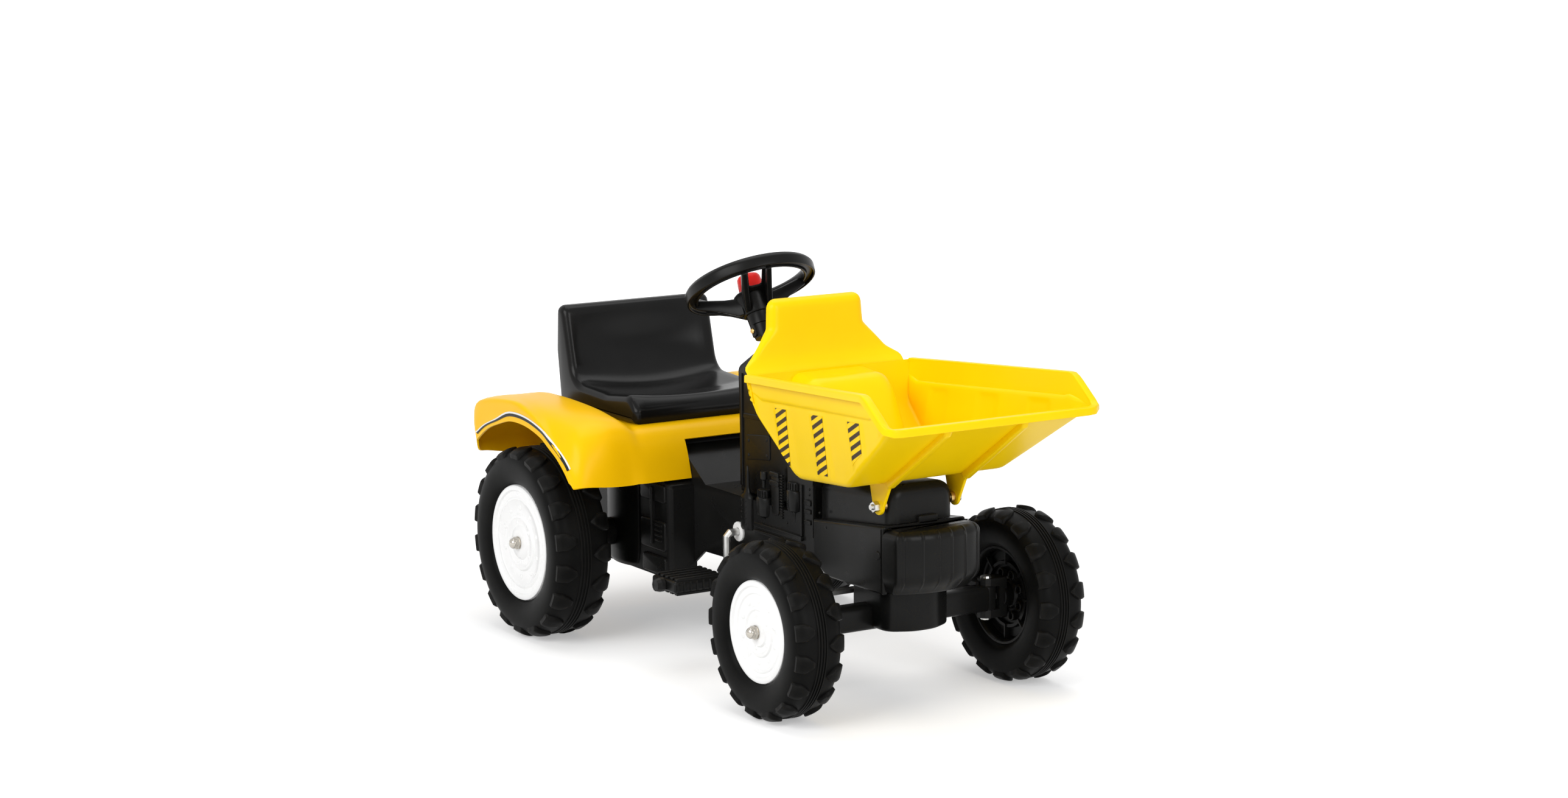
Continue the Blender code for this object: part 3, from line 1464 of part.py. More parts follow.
def build_pedals(datum):
    axis = empty("crank_axis", (CRANK_X, 0, CRANK_Z), datum)
    add(crank(), "zinc_steel", axis, datum)
    bore = CRANK_R + GAP
    add(sprocket("crank_sprocket", (CRANK_X, CRANK_Z), CRANK_TEETH, bore), "zinc_steel", axis, datum)
    for side, up in (("left", 1), ("right", -1)):
        pin = empty(f"pedal_{side}_axis", (0, up * PEDAL_Y, up * CRANK_ARM), axis)
        add(pedal(f"pedal_{side}", up), "black_plastic", pin, datum)
        add(pedal_cap(f"pedal_cap_{side}", up), "black_plastic", axis, datum)


def build_steering(datum):
    axis = empty("steering_axis", (STEER_X, 0, STEER_Z), datum, -STEER_TILT)
    local = Matrix.Translation((STEER_X, 0, STEER_Z)) @ Matrix.Rotation(-STEER_TILT, 4, "Y")
    for piece, finish in (
        (steering_wheel(), "black_plastic"),
        (steering_shaft(), "zinc_steel"),
        (wheel_screw(), "brass"),
        (horn_button(), "red_plastic"),
    ):
        add(move(piece, local), finish, axis, datum)
    add(column_bush(local), "black_plastic", datum, datum)
    slide = empty("tie_rod_axis", (WHEELBASE - KNUCKLE_ARM, 0, TIE_BOTTOM), datum)
    add(tie_rod(), "zinc_steel", slide, datum)


def build_bucket(datum):
    axis = empty("bucket_axis", (PIVOT_X, 0, PIVOT_Z), datum)
    add(bucket(), "yellow_plastic", axis, datum)


def main():
    clear_scene()
    datum = empty("rear_axle_datum", ((TAIL_REACH - LIP_REACH) / 2, 0, 0))
    build_fixed(datum)
    build_wheels(datum)
    build_pedals(datum)
    build_steering(datum)
    build_bucket(datum)
    for tool in TOOLS.objects:
        tool.parent = datum


main()
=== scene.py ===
"""The looks of a child's pedal ride-on with a tipping bucket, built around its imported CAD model.

Metres, +X forward, +Y to the rider's left, +Z up. Shapes are drawn with x measured from the rear axle and
are then carried to the place that the CAD's rear axle has.
"""

import math

import bmesh
import bpy
from mathutils import Matrix, Vector


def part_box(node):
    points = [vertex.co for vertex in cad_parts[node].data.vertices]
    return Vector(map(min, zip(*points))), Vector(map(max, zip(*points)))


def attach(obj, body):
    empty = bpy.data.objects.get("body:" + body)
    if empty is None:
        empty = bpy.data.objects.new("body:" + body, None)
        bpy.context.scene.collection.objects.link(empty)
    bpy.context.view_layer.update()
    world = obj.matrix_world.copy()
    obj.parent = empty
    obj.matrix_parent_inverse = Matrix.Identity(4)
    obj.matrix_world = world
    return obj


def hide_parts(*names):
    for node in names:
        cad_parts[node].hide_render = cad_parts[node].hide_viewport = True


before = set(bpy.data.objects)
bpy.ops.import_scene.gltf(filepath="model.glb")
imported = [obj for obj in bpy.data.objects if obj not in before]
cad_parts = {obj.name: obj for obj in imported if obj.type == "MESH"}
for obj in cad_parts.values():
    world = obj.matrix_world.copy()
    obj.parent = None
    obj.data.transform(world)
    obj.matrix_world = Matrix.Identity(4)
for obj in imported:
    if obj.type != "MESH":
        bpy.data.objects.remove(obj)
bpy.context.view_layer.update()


def middle(node):
    low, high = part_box(node)
    return (low + high) / 2


def reach(node):
    low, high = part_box(node)
    return high - low


# Places taken from the CAD
AXLE_X = middle("rear_axle").x
CARRY = Matrix.Translation((AXLE_X, 0, 0))
REAR_R = reach("rear_tyre_right").z / 2
WHEELBASE = middle("front_tyre_right").x - AXLE_X
PIVOT = (middle("pivot_rod").x - AXLE_X, middle("pivot_rod").z)

# Clearance between pieces that touch
GAP = 0.0003

# Camera
CAMERA_TARGET = (-0.0113, 0.0, 0.3948)
CAMERA_DISTANCE = 5.0327
CAMERA_AZIMUTH = math.radians(58.19)
CAMERA_ELEVATION = math.radians(9.69)
CAMERA_ROLL = math.radians(-0.40)
CAMERA_LENS = 76.86

# Prints
BUCKET_YELLOW = (1.0, 0.66, 0.001)
HAZARD_PITCH = 0.0128
HAZARD_SLOPE = 0.47

YELLOW_WEAR = ((7, 0.035), None, (22, 0.05), (60, 0.0005, 0.10))

# Finishes: slot, colour, roughness, metallic, specular; then the change of shade, the worn edges if it has
# any, the change of roughness, and any number of grains
FINISHES = {
    "bucket_yellow": ("yellow_plastic", BUCKET_YELLOW, 0.30, 0.0, 0.12, *YELLOW_WEAR),
    "cowl_yellow": ("yellow_plastic", (1.0, 0.55, 0.001), 0.30, 0.0, 0.12, *YELLOW_WEAR),
    "black": (
        "black_plastic", (0.0055, 0.0055, 0.0052), 0.29, 0.0, 0.11,
        (11, 0.25), ((0.03, 0.03, 0.03), 0.3), (30, 0.06), (900, 0.00012, 0.3), (45, 0.0004, 0.15),
    ),
    "gloss": (
        "gloss_black", (0.0055, 0.0055, 0.0054), 0.22, 0.0, 0.14,
        (9, 0.2), None, (20, 0.04), (40, 0.0005, 0.12),
    ),
    "tyre": (
        "tyre_black", (0.0045, 0.0045, 0.0043), 0.40, 0.0, 0.045,
        (16, 0.3), ((0.03, 0.029, 0.027), 0.3), (26, 0.08), (700, 0.0002, 0.35), (60, 0.0005, 0.15),
    ),
    # The tyre's own rubber once more, its colour painted lighter on the raised lugs: a painted highlight
    "tyre_lug_painted_highlight": (
        "tyre_black", (0.0085, 0.0085, 0.0082), 0.28, 0.0, 0.24,
        (16, 0.2), None, (26, 0.06), (420, 0.0005, 0.55, 1.0),
    ),
    "white": (
        "white_plastic", (0.93, 0.93, 0.925), 0.28, 0.0, 0.5,
        (13, 0.012), None, (24, 0.05), (50, 0.0004, 0.1),
    ),
    "red": (
        "red_plastic", (0.72, 0.012, 0.008), 0.24, 0.0, 0.15,
        (30, 0.08), None, (40, 0.05), (90, 0.0003, 0.1),
    ),
    "zinc": (
        "zinc_steel", (0.60, 0.60, 0.585), 0.34, 1.0, 0.5,
        (70, 0.1), None, (90, 0.1), (300, 0.0002, 0.25),
    ),
    "bright": (
        "chrome", (0.50, 0.47, 0.42), 0.20, 1.0, 0.5,
        (40, 0.06), None, (90, 0.05), (160, 0.0002, 0.08),
    ),
    "brass_plate": (
        "brass", (0.66, 0.45, 0.17), 0.32, 1.0, 0.5,
        (60, 0.12), None, (80, 0.1), (250, 0.0002, 0.2),
    ),
    "stripe_white": ("white_plastic", (0.82, 0.82, 0.80), 0.35, 0.0, 0.5, (40, 0.03), None, (40, 0.04)),
    "stripe_black": ("black_plastic", (0.007, 0.007, 0.007), 0.35, 0.0, 0.15, (40, 0.1), None, (40, 0.04)),
}

# Floor: within the first distance it shows its shadows, past the second it is white
FLOOR_NEAR = 0.7
FLOOR_FAR = 2.6
FLOOR_GLOW = 0.36

# Light: name, place, size, power
LIGHTS = (
    ("key", (0.9, -2.9, 2.0), (2.2, 1.6), 60),
    ("front", (3.4, 0.2, 1.5), (1.6, 1.8), 42),
    ("top", (-0.4, 0.3, 3.2), (2.6, 2.6), 38),
)
LIGHT_TARGET = (0, 0, 0.3)
WORLD_STRENGTH = 0.42

# Tyres
LUG_H = 0.0050
LUG_ROOT = 0.0008
LUG_STEPS = 11
TREAD_RIDGE = 0.0016
AXLE_BORE = 0.0062
WHEEL_BORE = 0.0063
REAR_LUGS = 18
FRONT_LUGS = 17

# Steering
STEER_TILT = math.radians(30)
RING_R = 0.092
SPOKE_TURN = math.radians(-22.5)
HUB_DROP = 0.024
SPOKE_T = 0.0034
SHAFT_BORE = 0.0064
STEER_X = 0.228
STEER_Z = 0.560

# Cowl, seat and chassis
DECK_Z = 0.334
COWL_T = 0.003
STRIPE_LIFT = 0.0006
SEAT_BACK = -0.152
SPINE_HALF_W = 0.065
NOSE_HALF_W = 0.0715
NOSE_BOTTOM = 0.173
BODY_HALF_W = 0.110
FIELD_H = 0.0042
BUMPER_CORNER = 0.737
KINGPIN_Y = 0.155

# Raised fields on the chassis sides: low and high x, low and high z, height
SIDE_FIELDS = (
    (0.395, 0.416, 0.238, 0.300, 0.0022),
    (0.392, 0.418, 0.282, 0.290, 0.0042),
    (0.392, 0.418, 0.296, 0.303, 0.0042),
    (0.348, 0.482, 0.212, 0.219, 0.0052),
    (0.346, 0.484, 0.203, 0.2075, 0.0032),
    (0.4765, 0.4815, 0.219, 0.296, 0.0034),
    (0.488, 0.506, 0.268, 0.276, 0.0040),
    (0.488, 0.506, 0.256, 0.262, 0.0040),
    (0.488, 0.506, 0.240, 0.246, 0.0040),
    (0.5085, 0.5125, 0.222, 0.300, 0.0034),
    (0.515, 0.628, 0.231, 0.2365, 0.0022),
)

# Bucket: side profile points, each with the half width there
RIM_BACK = (0.452, 0.460, 0.140)
BACK_LOW = (0.462, 0.400, 0.135)
FLOOR_BACK = (0.555, 0.322, 0.125)
FLOOR_FRONT = (0.7045, 0.335, 0.137)
LIP = (0.868, 0.443, 0.1725)
RIM_FRONT = (0.817, 0.484, 0.173)
BUCKET_T = 0.0035
HEADBOARD_TOP = 0.560
CORNER_R = 0.013
LEDGE_DROP = 0.033
LEDGE_DEPTH = 0.0032
FULL_HEIGHT = 0.080
RIB_SHARE = 0.5
HUMP_HALF_W = 0.0700
HUMP_ROUNDING = 0.020
HUMP_TOP = 0.4515
HUMP_FRONT = 0.5075
HUMP_SLOPE = 1.93
HUMP_SOFT = 0.024
DECAL_X = ((0.524, 0.556), (0.6345, 0.6675), (0.743, 0.777))
DECAL_LEAN = 0.13


# Materials


def linked(tree, kind, sources, **settings):
    """A new node; its inputs, by name or place, are linked to a socket or set to a value."""
    node = tree.nodes.new(kind)
    for key, value in settings.items():
        setattr(node, key, value)
    for key, value in sources.items():
        if isinstance(value, bpy.types.NodeSocket):
            tree.links.new(value, node.inputs[key])
        else:
            node.inputs[key].default_value = value
    return node


class Finish:
    """A Principled material with its texture nodes, in the object's own coordinates."""

    def __init__(self, name, colour, roughness, metallic, specular):
        self.material = bpy.data.materials.new(name)
        self.material.use_nodes = True
        self.tree = self.material.node_tree
        self.shader = self.tree.nodes["Principled BSDF"]
        self.shader.inputs["Metallic"].default_value = metallic
        self.shader.inputs["Specular IOR Level"].default_value = specular
        self.shader.inputs["Base Color"].default_value = (*colour, 1)
        self.shader.inputs["Roughness"].default_value = roughness
        self.place = self.add("ShaderNodeTexCoord", {}).outputs["Object"]
        self.colour = colour
        self.roughness = roughness
        self.colour_out = None
        self.height_out = None

    def add(self, kind, sources, **settings):
        return linked(self.tree, kind, sources, **settings)

    def feed(self, socket, name):
        self.tree.links.new(socket, self.shader.inputs[name])
        return self

    def noise(self, scale, detail):
        sources = {"Vector": self.place, "Scale": scale, "Detail": detail}
        return self.add("ShaderNodeTexNoise", sources).outputs["Fac"]

    def ramp(self, value, stops):
        ramp = self.add("ShaderNodeValToRGB", {"Fac": value})
        points = ramp.color_ramp.elements
        while len(points) < len(stops):
            points.new(0.5)
        for point, (place, colour) in zip(points, stops):
            point.position = place
            point.color = (*colour, 1)
        return ramp.outputs["Color"]

    def math(self, operation, first, second):
        return self.add("ShaderNodeMath", {0: first, 1: second}, operation=operation).outputs["Value"]

    def mottle(self, scale, amount):
        """Slow changes of shade over the surface."""
        dark = tuple(c * (1 - amount) for c in self.colour)
        light = tuple(min(1, c * (1 + amount) + amount * 0.004) for c in self.colour)
        self.colour_out = self.ramp(self.noise(scale, 4.0), ((0.30, dark), (0.70, light)))
        return self.feed(self.colour_out, "Base Color")

    def worn_edges(self, colour, share):
        """Rubbed edges, lighter than the rest."""
        pointiness = self.add("ShaderNodeNewGeometry", {}).outputs["Pointiness"]
        mask = self.ramp(pointiness, ((0.515, (0, 0, 0)), (0.60, (share, share, share))))
        sources = {"Factor": mask, "A": self.colour_out, "B": (*colour, 1)}
        self.colour_out = self.add("ShaderNodeMix", sources, data_type="RGBA").outputs["Result"]
        return self.feed(self.colour_out, "Base Color")

    def rough(self, scale, amount):
        low, high = self.roughness - amount, self.roughness + amount
        sources = {"Value": self.noise(scale, 5.0), "To Min": low, "To Max": high}
        return self.feed(self.add("ShaderNodeMapRange", sources).outputs["Result"], "Roughness")

    def grain(self, scale, distance, strength, detail=2.0):
        """Fine relief; a second call adds its relief to the first one's."""
        sources = {"Distance": distance, "Strength": strength, "Height": self.noise(scale, detail)}
        if self.height_out:
            sources["Normal"] = self.height_out
        self.height_out = self.add("ShaderNodeBump", sources).outputs["Normal"]
        return self.feed(self.height_out, "Normal")


def finishes():
    made = {"hazard_print": hazard()}
    for name, (_slot, colour, roughness, metallic, specular, mottle, worn, rough, *grains) in FINISHES.items():
        finish = Finish(name, colour, roughness, metallic, specular).mottle(*mottle)
        if worn:
            finish.worn_edges(*worn)
        finish.rough(*rough)
        for grain in grains:
            finish.grain(*grain)
        made[name] = finish.material
    return made


def hazard():
    """Printed diagonal bars on yellow, rising forward."""
    yellow, dark = BUCKET_YELLOW, (0.040, 0.022, 0.010)
    finish = Finish("hazard_print", yellow, 0.33, 0.0, 0.12)
    axes = finish.add("ShaderNodeSeparateXYZ", {0: finish.place}).outputs
    along = finish.math("SUBTRACT", axes["Z"], finish.math("MULTIPLY", axes["X"], HAZARD_SLOPE))
    share = finish.math("FRACT", finish.math("DIVIDE", along, HAZARD_PITCH), 0)
    ink = finish.ramp(share, ((0.0, dark), (0.45, dark), (0.48, yellow), (0.97, yellow), (1.0, dark)))
    return finish.feed(ink, "Base Color").rough(40, 0.05).material


# Mesh helpers


def arc(centre, radius, start, end, steps):
    points = []
    for step in range(steps + 1):
        angle = math.radians(start + (end - start) * step / steps)
        points.append((centre[0] + radius * math.cos(angle), centre[1] + radius * math.sin(angle)))
    return points


def rounded(corners, steps=4, closed=True):
    """An outline from corners given as (u, v) or (u, v, radius)."""
    outline = []
    count = len(corners)
    for index, corner in enumerate(corners):
        here = Vector(corner[:2])
        if len(corner) == 2 or (not closed and index in (0, count - 1)):
            outline.append((here.x, here.y))
            continue
        before = (Vector(corners[index - 1][:2]) - here).normalized()
        after = (Vector(corners[(index + 1) % count][:2]) - here).normalized()
        half = before.angle(after) / 2
        centre = here + (before + after).normalized() * (corner[2] / math.sin(half))
        run = corner[2] / math.tan(half)
        first = here + before * run - centre
        last = here + after * run - centre
        start = math.atan2(first.y, first.x)
        sweep = (math.atan2(last.y, last.x) - start + math.pi) % (2 * math.pi) - math.pi
        for step in range(steps + 1):
            angle = start + sweep * step / steps
            outline.append((centre.x + corner[2] * math.cos(angle), centre.y + corner[2] * math.sin(angle)))
    return outline


def oblong(low_u, low_v, high_u, high_v, radius, steps=4):
    """A rectangle with its corners rounded by one radius, or by one for each corner."""
    radii = radius if isinstance(radius, tuple) else (radius,) * 4
    corners = ((low_u, low_v), (high_u, low_v), (high_u, high_v), (low_u, high_v))
    return rounded([(*corner, size) for corner, size in zip(corners, radii)], steps)


def inset_outline(outline, distance):
    """An outline drawn in by a distance, with its corners mitred."""
    made = []
    count = len(outline)
    area = sum(a[0] * b[1] - b[0] * a[1] for a, b in zip(outline, outline[1:] + outline[:1]))
    turn = 1 if area > 0 else -1
    for index, point in enumerate(outline):
        before = Vector(point) - Vector(outline[index - 1])
        after = Vector(outline[(index + 1) % count]) - Vector(point)
        first = Vector((-before.y, before.x)).normalized() * turn
        second = Vector((-after.y, after.x)).normalized() * turn
        normal = (first + second).normalized()
        made.append(tuple(Vector(point) + normal * (distance / max(0.5, normal.dot(first)))))
    return made


def spaced(points, spacing):
    """A path's points, placed evenly along it, with any further values carried along."""
    lengths = [0.0]
    for a, b in zip(points, points[1:]):
        lengths.append(lengths[-1] + (Vector(b[:2]) - Vector(a[:2])).length)
    count = max(2, round(lengths[-1] / spacing))
    made = []
    index = 0
    for step in range(count + 1):
        want = lengths[-1] * step / count
        while index < len(points) - 2 and lengths[index + 1] < want:
            index += 1
        share = (want - lengths[index]) / (lengths[index + 1] - lengths[index])
        made.append(tuple(a + (b - a) * share for a, b in zip(points[index], points[index + 1])))
    return made


def table_value(table, x):
    """A value read from (x, value) points, straight between them."""
    if x <= table[0][0]:
        return table[0][1]
    for (x0, v0), (x1, v1) in zip(table, table[1:]):
        if x <= x1:
            return v0 + (v1 - v0) * (x - x0) / (x1 - x0)
    return table[-1][1]


def soft_step(value, start, end):
    share = min(1.0, max(0.0, (value - start) / (end - start)))
    return share * share * (3 - 2 * share)


def curve_through(points, steps):
    """A smooth Catmull-Rom line through points of any number of values."""
    ends = [points[0]] + list(points) + [points[-1]]
    made = []
    for a, b, c, d in zip(ends, ends[1:], ends[2:], ends[3:]):
        for step in range(steps):
            t = step / steps
            made.append(
                tuple(
                    0.5 * (2 * q + (r - p) * t + (2 * p - 5 * q + 4 * r - s) * t**2 + (3 * q - p - 3 * r + s) * t**3)
                    for p, q, r, s in zip(a, b, c, d)
                )
            )
    made.append(tuple(points[-1]))
    return made


def grid_faces(shape, rows, closed=False):
    """Quads between rows of vertices; closed joins each row's last vertex to its first."""
    for near, far in zip(rows, rows[1:]):
        count = len(near)
        for index in range(count if closed else count - 1):
            after = (index + 1) % count
            shape.faces.new((near[index], near[after], far[after], far[index]))


def to_mesh(shape):
    mesh = bpy.data.meshes.new("part")
    shape.to_mesh(mesh)
    shape.free()
    return mesh


def facing(shape, way):
    """The open shape's mesh, turned so that its highest (1) or lowest (-1) face looks up or down."""
    outermost = max(shape.faces, key=lambda face: way * face.calc_center_median().z)
    if outermost.normal.z * way < 0:
        bmesh.ops.reverse_faces(shape, faces=shape.faces)
    return to_mesh(shape)


def cleaned(shape):
    bmesh.ops.remove_doubles(shape, verts=shape.verts, dist=1e-5)
    bmesh.ops.dissolve_degenerate(shape, edges=shape.edges, dist=1e-6)
    bmesh.ops.recalc_face_normals(shape, faces=shape.faces)
    return shape


def shape_of(rows, closed=False, capped=False):
    """Quads between rows of points; capped also fills the first and the last row."""
    shape = bmesh.new()
    made = [[shape.verts.new(point) for point in row] for row in rows]
    if capped:
        shape.faces.new(made[0])
        shape.faces.new(list(reversed(made[-1])))
    grid_faces(shape, made, closed or capped)
    return cleaned(shape)


def grid_mesh(rows, closed=False, capped=False):
    return to_mesh(shape_of(rows, closed, capped))


def lathe(profile, steps, closed=False):
    """A profile of (radius, height) points turned about Z."""
    rows = []
    for step in range(steps + 1):
        angle = 2 * math.pi * step / steps
        rows.append([(r * math.cos(angle), r * math.sin(angle), h) for r, h in profile])
    return grid_mesh(rows, closed)


PLANES = {
    "XZ": lambda u, v, depth: (u, depth, v),
    "YZ": lambda u, v, depth: (depth, u, v),
    "XY": lambda u, v, depth: (u, v, depth),
}


def prism(outline, low, high, plane="XZ"):
    """A closed outline drawn out between two places along the plane's normal."""
    rows = [[PLANES[plane](u, v, depth) for u, v in outline] for depth in (low, high)]
    return grid_mesh(rows, capped=True)


def pillow(outline, low, high, rounding, plane="XZ", rows=1, bend=None):
    """A prism whose end edges are rounded; rounding is one radius, or one for each end."""
    first, last = rounding if isinstance(rounding, tuple) else (rounding, rounding)
    turns = [math.pi / 2 * step / 5 for step in range(6)]
    places = [(low + first * (1 - math.sin(turn)), first * (1 - math.cos(turn))) for turn in reversed(turns)]
    places += [(low + first + (high - last - low - first) * row / rows, 0.0) for row in range(1, rows)]
    places += [(high - last * (1 - math.sin(turn)), last * (1 - math.cos(turn))) for turn in turns]
    made = []
    for depth, inset in places:
        points = [PLANES[plane](u, v, depth) for u, v in inset_outline(outline, inset)]
        made.append([bend(*point) for point in points] if bend else points)
    return grid_mesh(made, capped=True)


def box_mesh(low, high):
    outline = [(low[0], low[1]), (high[0], low[1]), (high[0], high[1]), (low[0], high[1])]
    return prism(outline, low[2], high[2], "XY")


def merged(*meshes):
    shape = bmesh.new()
    for mesh in meshes:
        shape.from_mesh(mesh)
        bpy.data.meshes.remove(mesh)
    return to_mesh(shape)


def moved(mesh, matrix):
    mesh.transform(matrix)
    return mesh


def flipped(mesh):
    """A copy on the other side of the middle plane."""
    shape = bmesh.new()
    shape.from_mesh(mesh)
    bmesh.ops.scale(shape, vec=(1, -1, 1), verts=shape.verts)
    bmesh.ops.reverse_faces(shape, faces=shape.faces)
    return to_mesh(shape)


def other_side(points):
    """The points' mirror images, from the last to the first, so that they carry a line on."""
    return [(x, -y, z) for x, y, z in reversed(points)]


def modified(mesh, kind, **settings):
    """The mesh with one modifier applied."""
    obj = bpy.data.objects.new("modified", mesh)
    bpy.context.scene.collection.objects.link(obj)
    modifier = obj.modifiers.new("modifier", kind)
    for key, value in settings.items():
        setattr(modifier, key, value)
    bpy.context.view_layer.update()
    graph = bpy.context.evaluated_depsgraph_get()
    made = bpy.data.meshes.new_from_object(obj.evaluated_get(graph), depsgraph=graph)
    bpy.data.objects.remove(obj, do_unlink=True)
    return made


def bevelled(mesh, width, segments=3, angle=35):
    limit = math.radians(angle)
    return modified(mesh, "BEVEL", width=width, segments=segments, limit_method="ANGLE", angle_limit=limit)


def walled(mesh, thickness, offset=-1.0):
    return modified(mesh, "SOLIDIFY", thickness=thickness, offset=offset)


def paint(mesh, material, sharp):
    mesh.materials.clear()
    mesh.materials.append(LOOKS[material])
    mesh.shade_smooth()
    mesh.set_sharp_from_angle(angle=math.radians(sharp))


def piece(name, mesh, material, body, sharp=40, carry=True):
    """Places a finished mesh on its body with its material; NODE_look replaces the CAD's NODE."""
    obj = bpy.data.objects.new(name, mesh)
    bpy.context.scene.collection.objects.link(obj)
    mesh.name = name
    if carry:
        mesh.transform(CARRY)
    paint(mesh, material, sharp)
    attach(obj, body)
    if name.endswith("_look"):
        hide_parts(name.removesuffix("_look"))
    return obj


def both_sides(name, mesh, sides, material, body):
    """The mesh as one piece and its mirror image as another, on the two sides in the order given."""
    for side, shape in zip(sides, (mesh, flipped(mesh))):
        piece(f"{name}_{side}", shape, material, body)


def repaint(material, *nodes):
    for node in nodes:
        paint(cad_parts[node].data, material, 35)


# Stage


def camera():
    level = math.cos(CAMERA_ELEVATION)
    back = Vector((math.sin(CAMERA_AZIMUTH) * level, -math.cos(CAMERA_AZIMUTH) * level, math.sin(CAMERA_ELEVATION)))
    right = Vector((0, 0, 1)).cross(back).normalized()
    up = back.cross(right)
    turned_right = right * math.cos(CAMERA_ROLL) + up * math.sin(CAMERA_ROLL)
    turned_up = -right * math.sin(CAMERA_ROLL) + up * math.cos(CAMERA_ROLL)
    data = bpy.data.cameras.new("camera")
    data.sensor_width = 36
    data.lens = CAMERA_LENS
    data.clip_end = 60
    obj = bpy.data.objects.new("camera", data)
    bpy.context.scene.collection.objects.link(obj)
    matrix = Matrix((turned_right, turned_up, back)).transposed().to_4x4()
    matrix.translation = Vector(CAMERA_TARGET) + back * CAMERA_DISTANCE
    obj.matrix_world = matrix
    bpy.context.scene.camera = obj


def direct_view(tree):
    """1 where the camera, a reflection or clear material looks straight at the surface, else 0."""
    rays = tree.nodes.new("ShaderNodeLightPath").outputs
    seen = rays["Is Camera Ray"]
    for other in ("Is Glossy Ray", "Is Transmission Ray"):
        seen = linked(tree, "ShaderNodeMath", {0: seen, 1: rays[other]}, operation="MAXIMUM").outputs[0]
    return seen


def white_world(tree, shader):
    """Plain white wherever something looks straight at the background."""
    plain = linked(tree, "ShaderNodeBackground", {"Color": (1, 1, 1, 1)})
    sources = {"Fac": direct_view(tree), 1: shader.outputs[0], 2: plain.outputs[0]}
    return linked(tree, "ShaderNodeMixShader", sources).outputs[0]


def white_floor(tree, shader):
    """A pale floor that brightens to plain white away from the object."""
    place = tree.nodes.new("ShaderNodeTexCoord").outputs["Object"]
    distance = linked(tree, "ShaderNodeVectorMath", {0: place}, operation="LENGTH").outputs["Value"]
    sources = {"Value": distance, "From Min": FLOOR_NEAR, "From Max": FLOOR_FAR, "To Min": FLOOR_GLOW, "To Max": 1.0}
    fade = linked(tree, "ShaderNodeMapRange", sources, interpolation_type="SMOOTHSTEP").outputs["Result"]
    plain = linked(tree, "ShaderNodeEmission", {"Color": (1, 1, 1, 1), "Strength": fade})
    dim = linked(tree, "ShaderNodeMixShader", {"Fac": direct_view(tree), 2: plain.outputs[0]})
    return linked(tree, "ShaderNodeAddShader", {0: shader.outputs[0], 1: dim.outputs[0]}).outputs[0]


def light(name, place, size, power):
    data = bpy.data.lights.new(name, "AREA")
    data.shape = "RECTANGLE"
    data.size, data.size_y = size
    data.energy = power
    obj = bpy.data.objects.new(name, data)
    bpy.context.scene.collection.objects.link(obj)
    obj.location = place
    obj.rotation_euler = (Vector(LIGHT_TARGET) - Vector(place)).to_track_quat("-Z", "Y").to_euler()


def stage():
    scene = bpy.context.scene
    scene.view_settings.view_transform = "Standard"
    world = bpy.data.worlds.new("studio")
    scene.world = world
    world.use_nodes = True
    tree = world.node_tree
    background = tree.nodes["Background"]
    background.inputs["Color"].default_value = (1, 1, 1, 1)
    background.inputs["Strength"].default_value = WORLD_STRENGTH
    tree.links.new(white_world(tree, background), tree.nodes["World Output"].inputs["Surface"])

    mesh = bpy.data.meshes.new("floor")
    mesh.from_pydata([(-30, -30, 0), (30, -30, 0), (30, 30, 0), (-30, 30, 0)], [], [(0, 1, 2, 3)])
    floor = bpy.data.objects.new("floor", mesh)
    scene.collection.objects.link(floor)
    pale = bpy.data.materials.new("pale_floor")
    pale.use_nodes = True
    tree = pale.node_tree
    tree.nodes.remove(tree.nodes["Principled BSDF"])
    matt = linked(tree, "ShaderNodeBsdfDiffuse", {"Color": (0.86, 0.86, 0.86, 1)})
    tree.links.new(white_floor(tree, matt), tree.nodes["Material Output"].inputs["Surface"])
    mesh.materials.append(pale)
    for entry in LIGHTS:
        light(*entry)


# Wheels


def tyre_body(radius, width, rim_r):
    """(across, radius) points of the tyre between its lugs, from one bead to the other."""
    side = radius - rim_r
    low = radius - LUG_H
    right = [(0.70, rim_r - 0.002), (0.90, rim_r + 0.10 * side), (0.99, rim_r + 0.36 * side)]
    right += [(0.985, rim_r + 0.62 * side), (0.88, low - 0.13 * side), (0.66, low - 0.035 * side)]
    right += [(0.36, low), (0.10, low + 0.0010)]
    right = [(share * width / 2, r) for share, r in right]
    return curve_through([(-across, r) for across, r in right] + list(reversed(right)), 4)


def tyre_surface(body, across):
    """The radius at a place across the tyre's body, and the body's normal there."""
    for (a0, r0), (a1, r1) in zip(body, body[1:]):
        if a0 <= across <= a1:
            slope = Vector((a1 - a0, r1 - r0)).normalized()
            return r0 + (r1 - r0) * (across - a0) / (a1 - a0), Vector((-slope.y, slope.x))
    return body[-1][1], Vector((0, 1))


def lug_rows(body, half, side, centre_angle, pitch):
    """One lug's surface, from its thin end near the middle of the tread to the shoulder."""
    columns = ((-1.0, None), (-0.90, 0.75), (-0.80, 1.0), (-0.4, 1.0), (0.0, 1.0))
    columns += tuple((-u, height) for u, height in reversed(columns[:-1]))
    made = []
    for row in range(LUG_STEPS + 1):
        t = row / LUG_STEPS
        across = side * (0.27 + 0.69 * t) * half
        base_r, normal = tyre_surface(body, across)
        spread = 0.30 * pitch * min(1.0, 0.04 + 1.15 * math.sin(t * math.pi * 0.5) ** 0.8)
        end_fade = soft_step(t, 0.0, 0.12) * (1 - soft_step(t, 0.93, 1.0))
        line = []
        for u, height in columns:
            lift = -LUG_ROOT if height is None or end_fade < 0.01 else height * LUG_H * end_fade
            place = Vector((across, base_r)) + normal * lift
            angle = centre_angle + u * spread
            line.append((place.y * math.cos(angle), place.y * math.sin(angle), place.x))
        made.append(line)
    return made


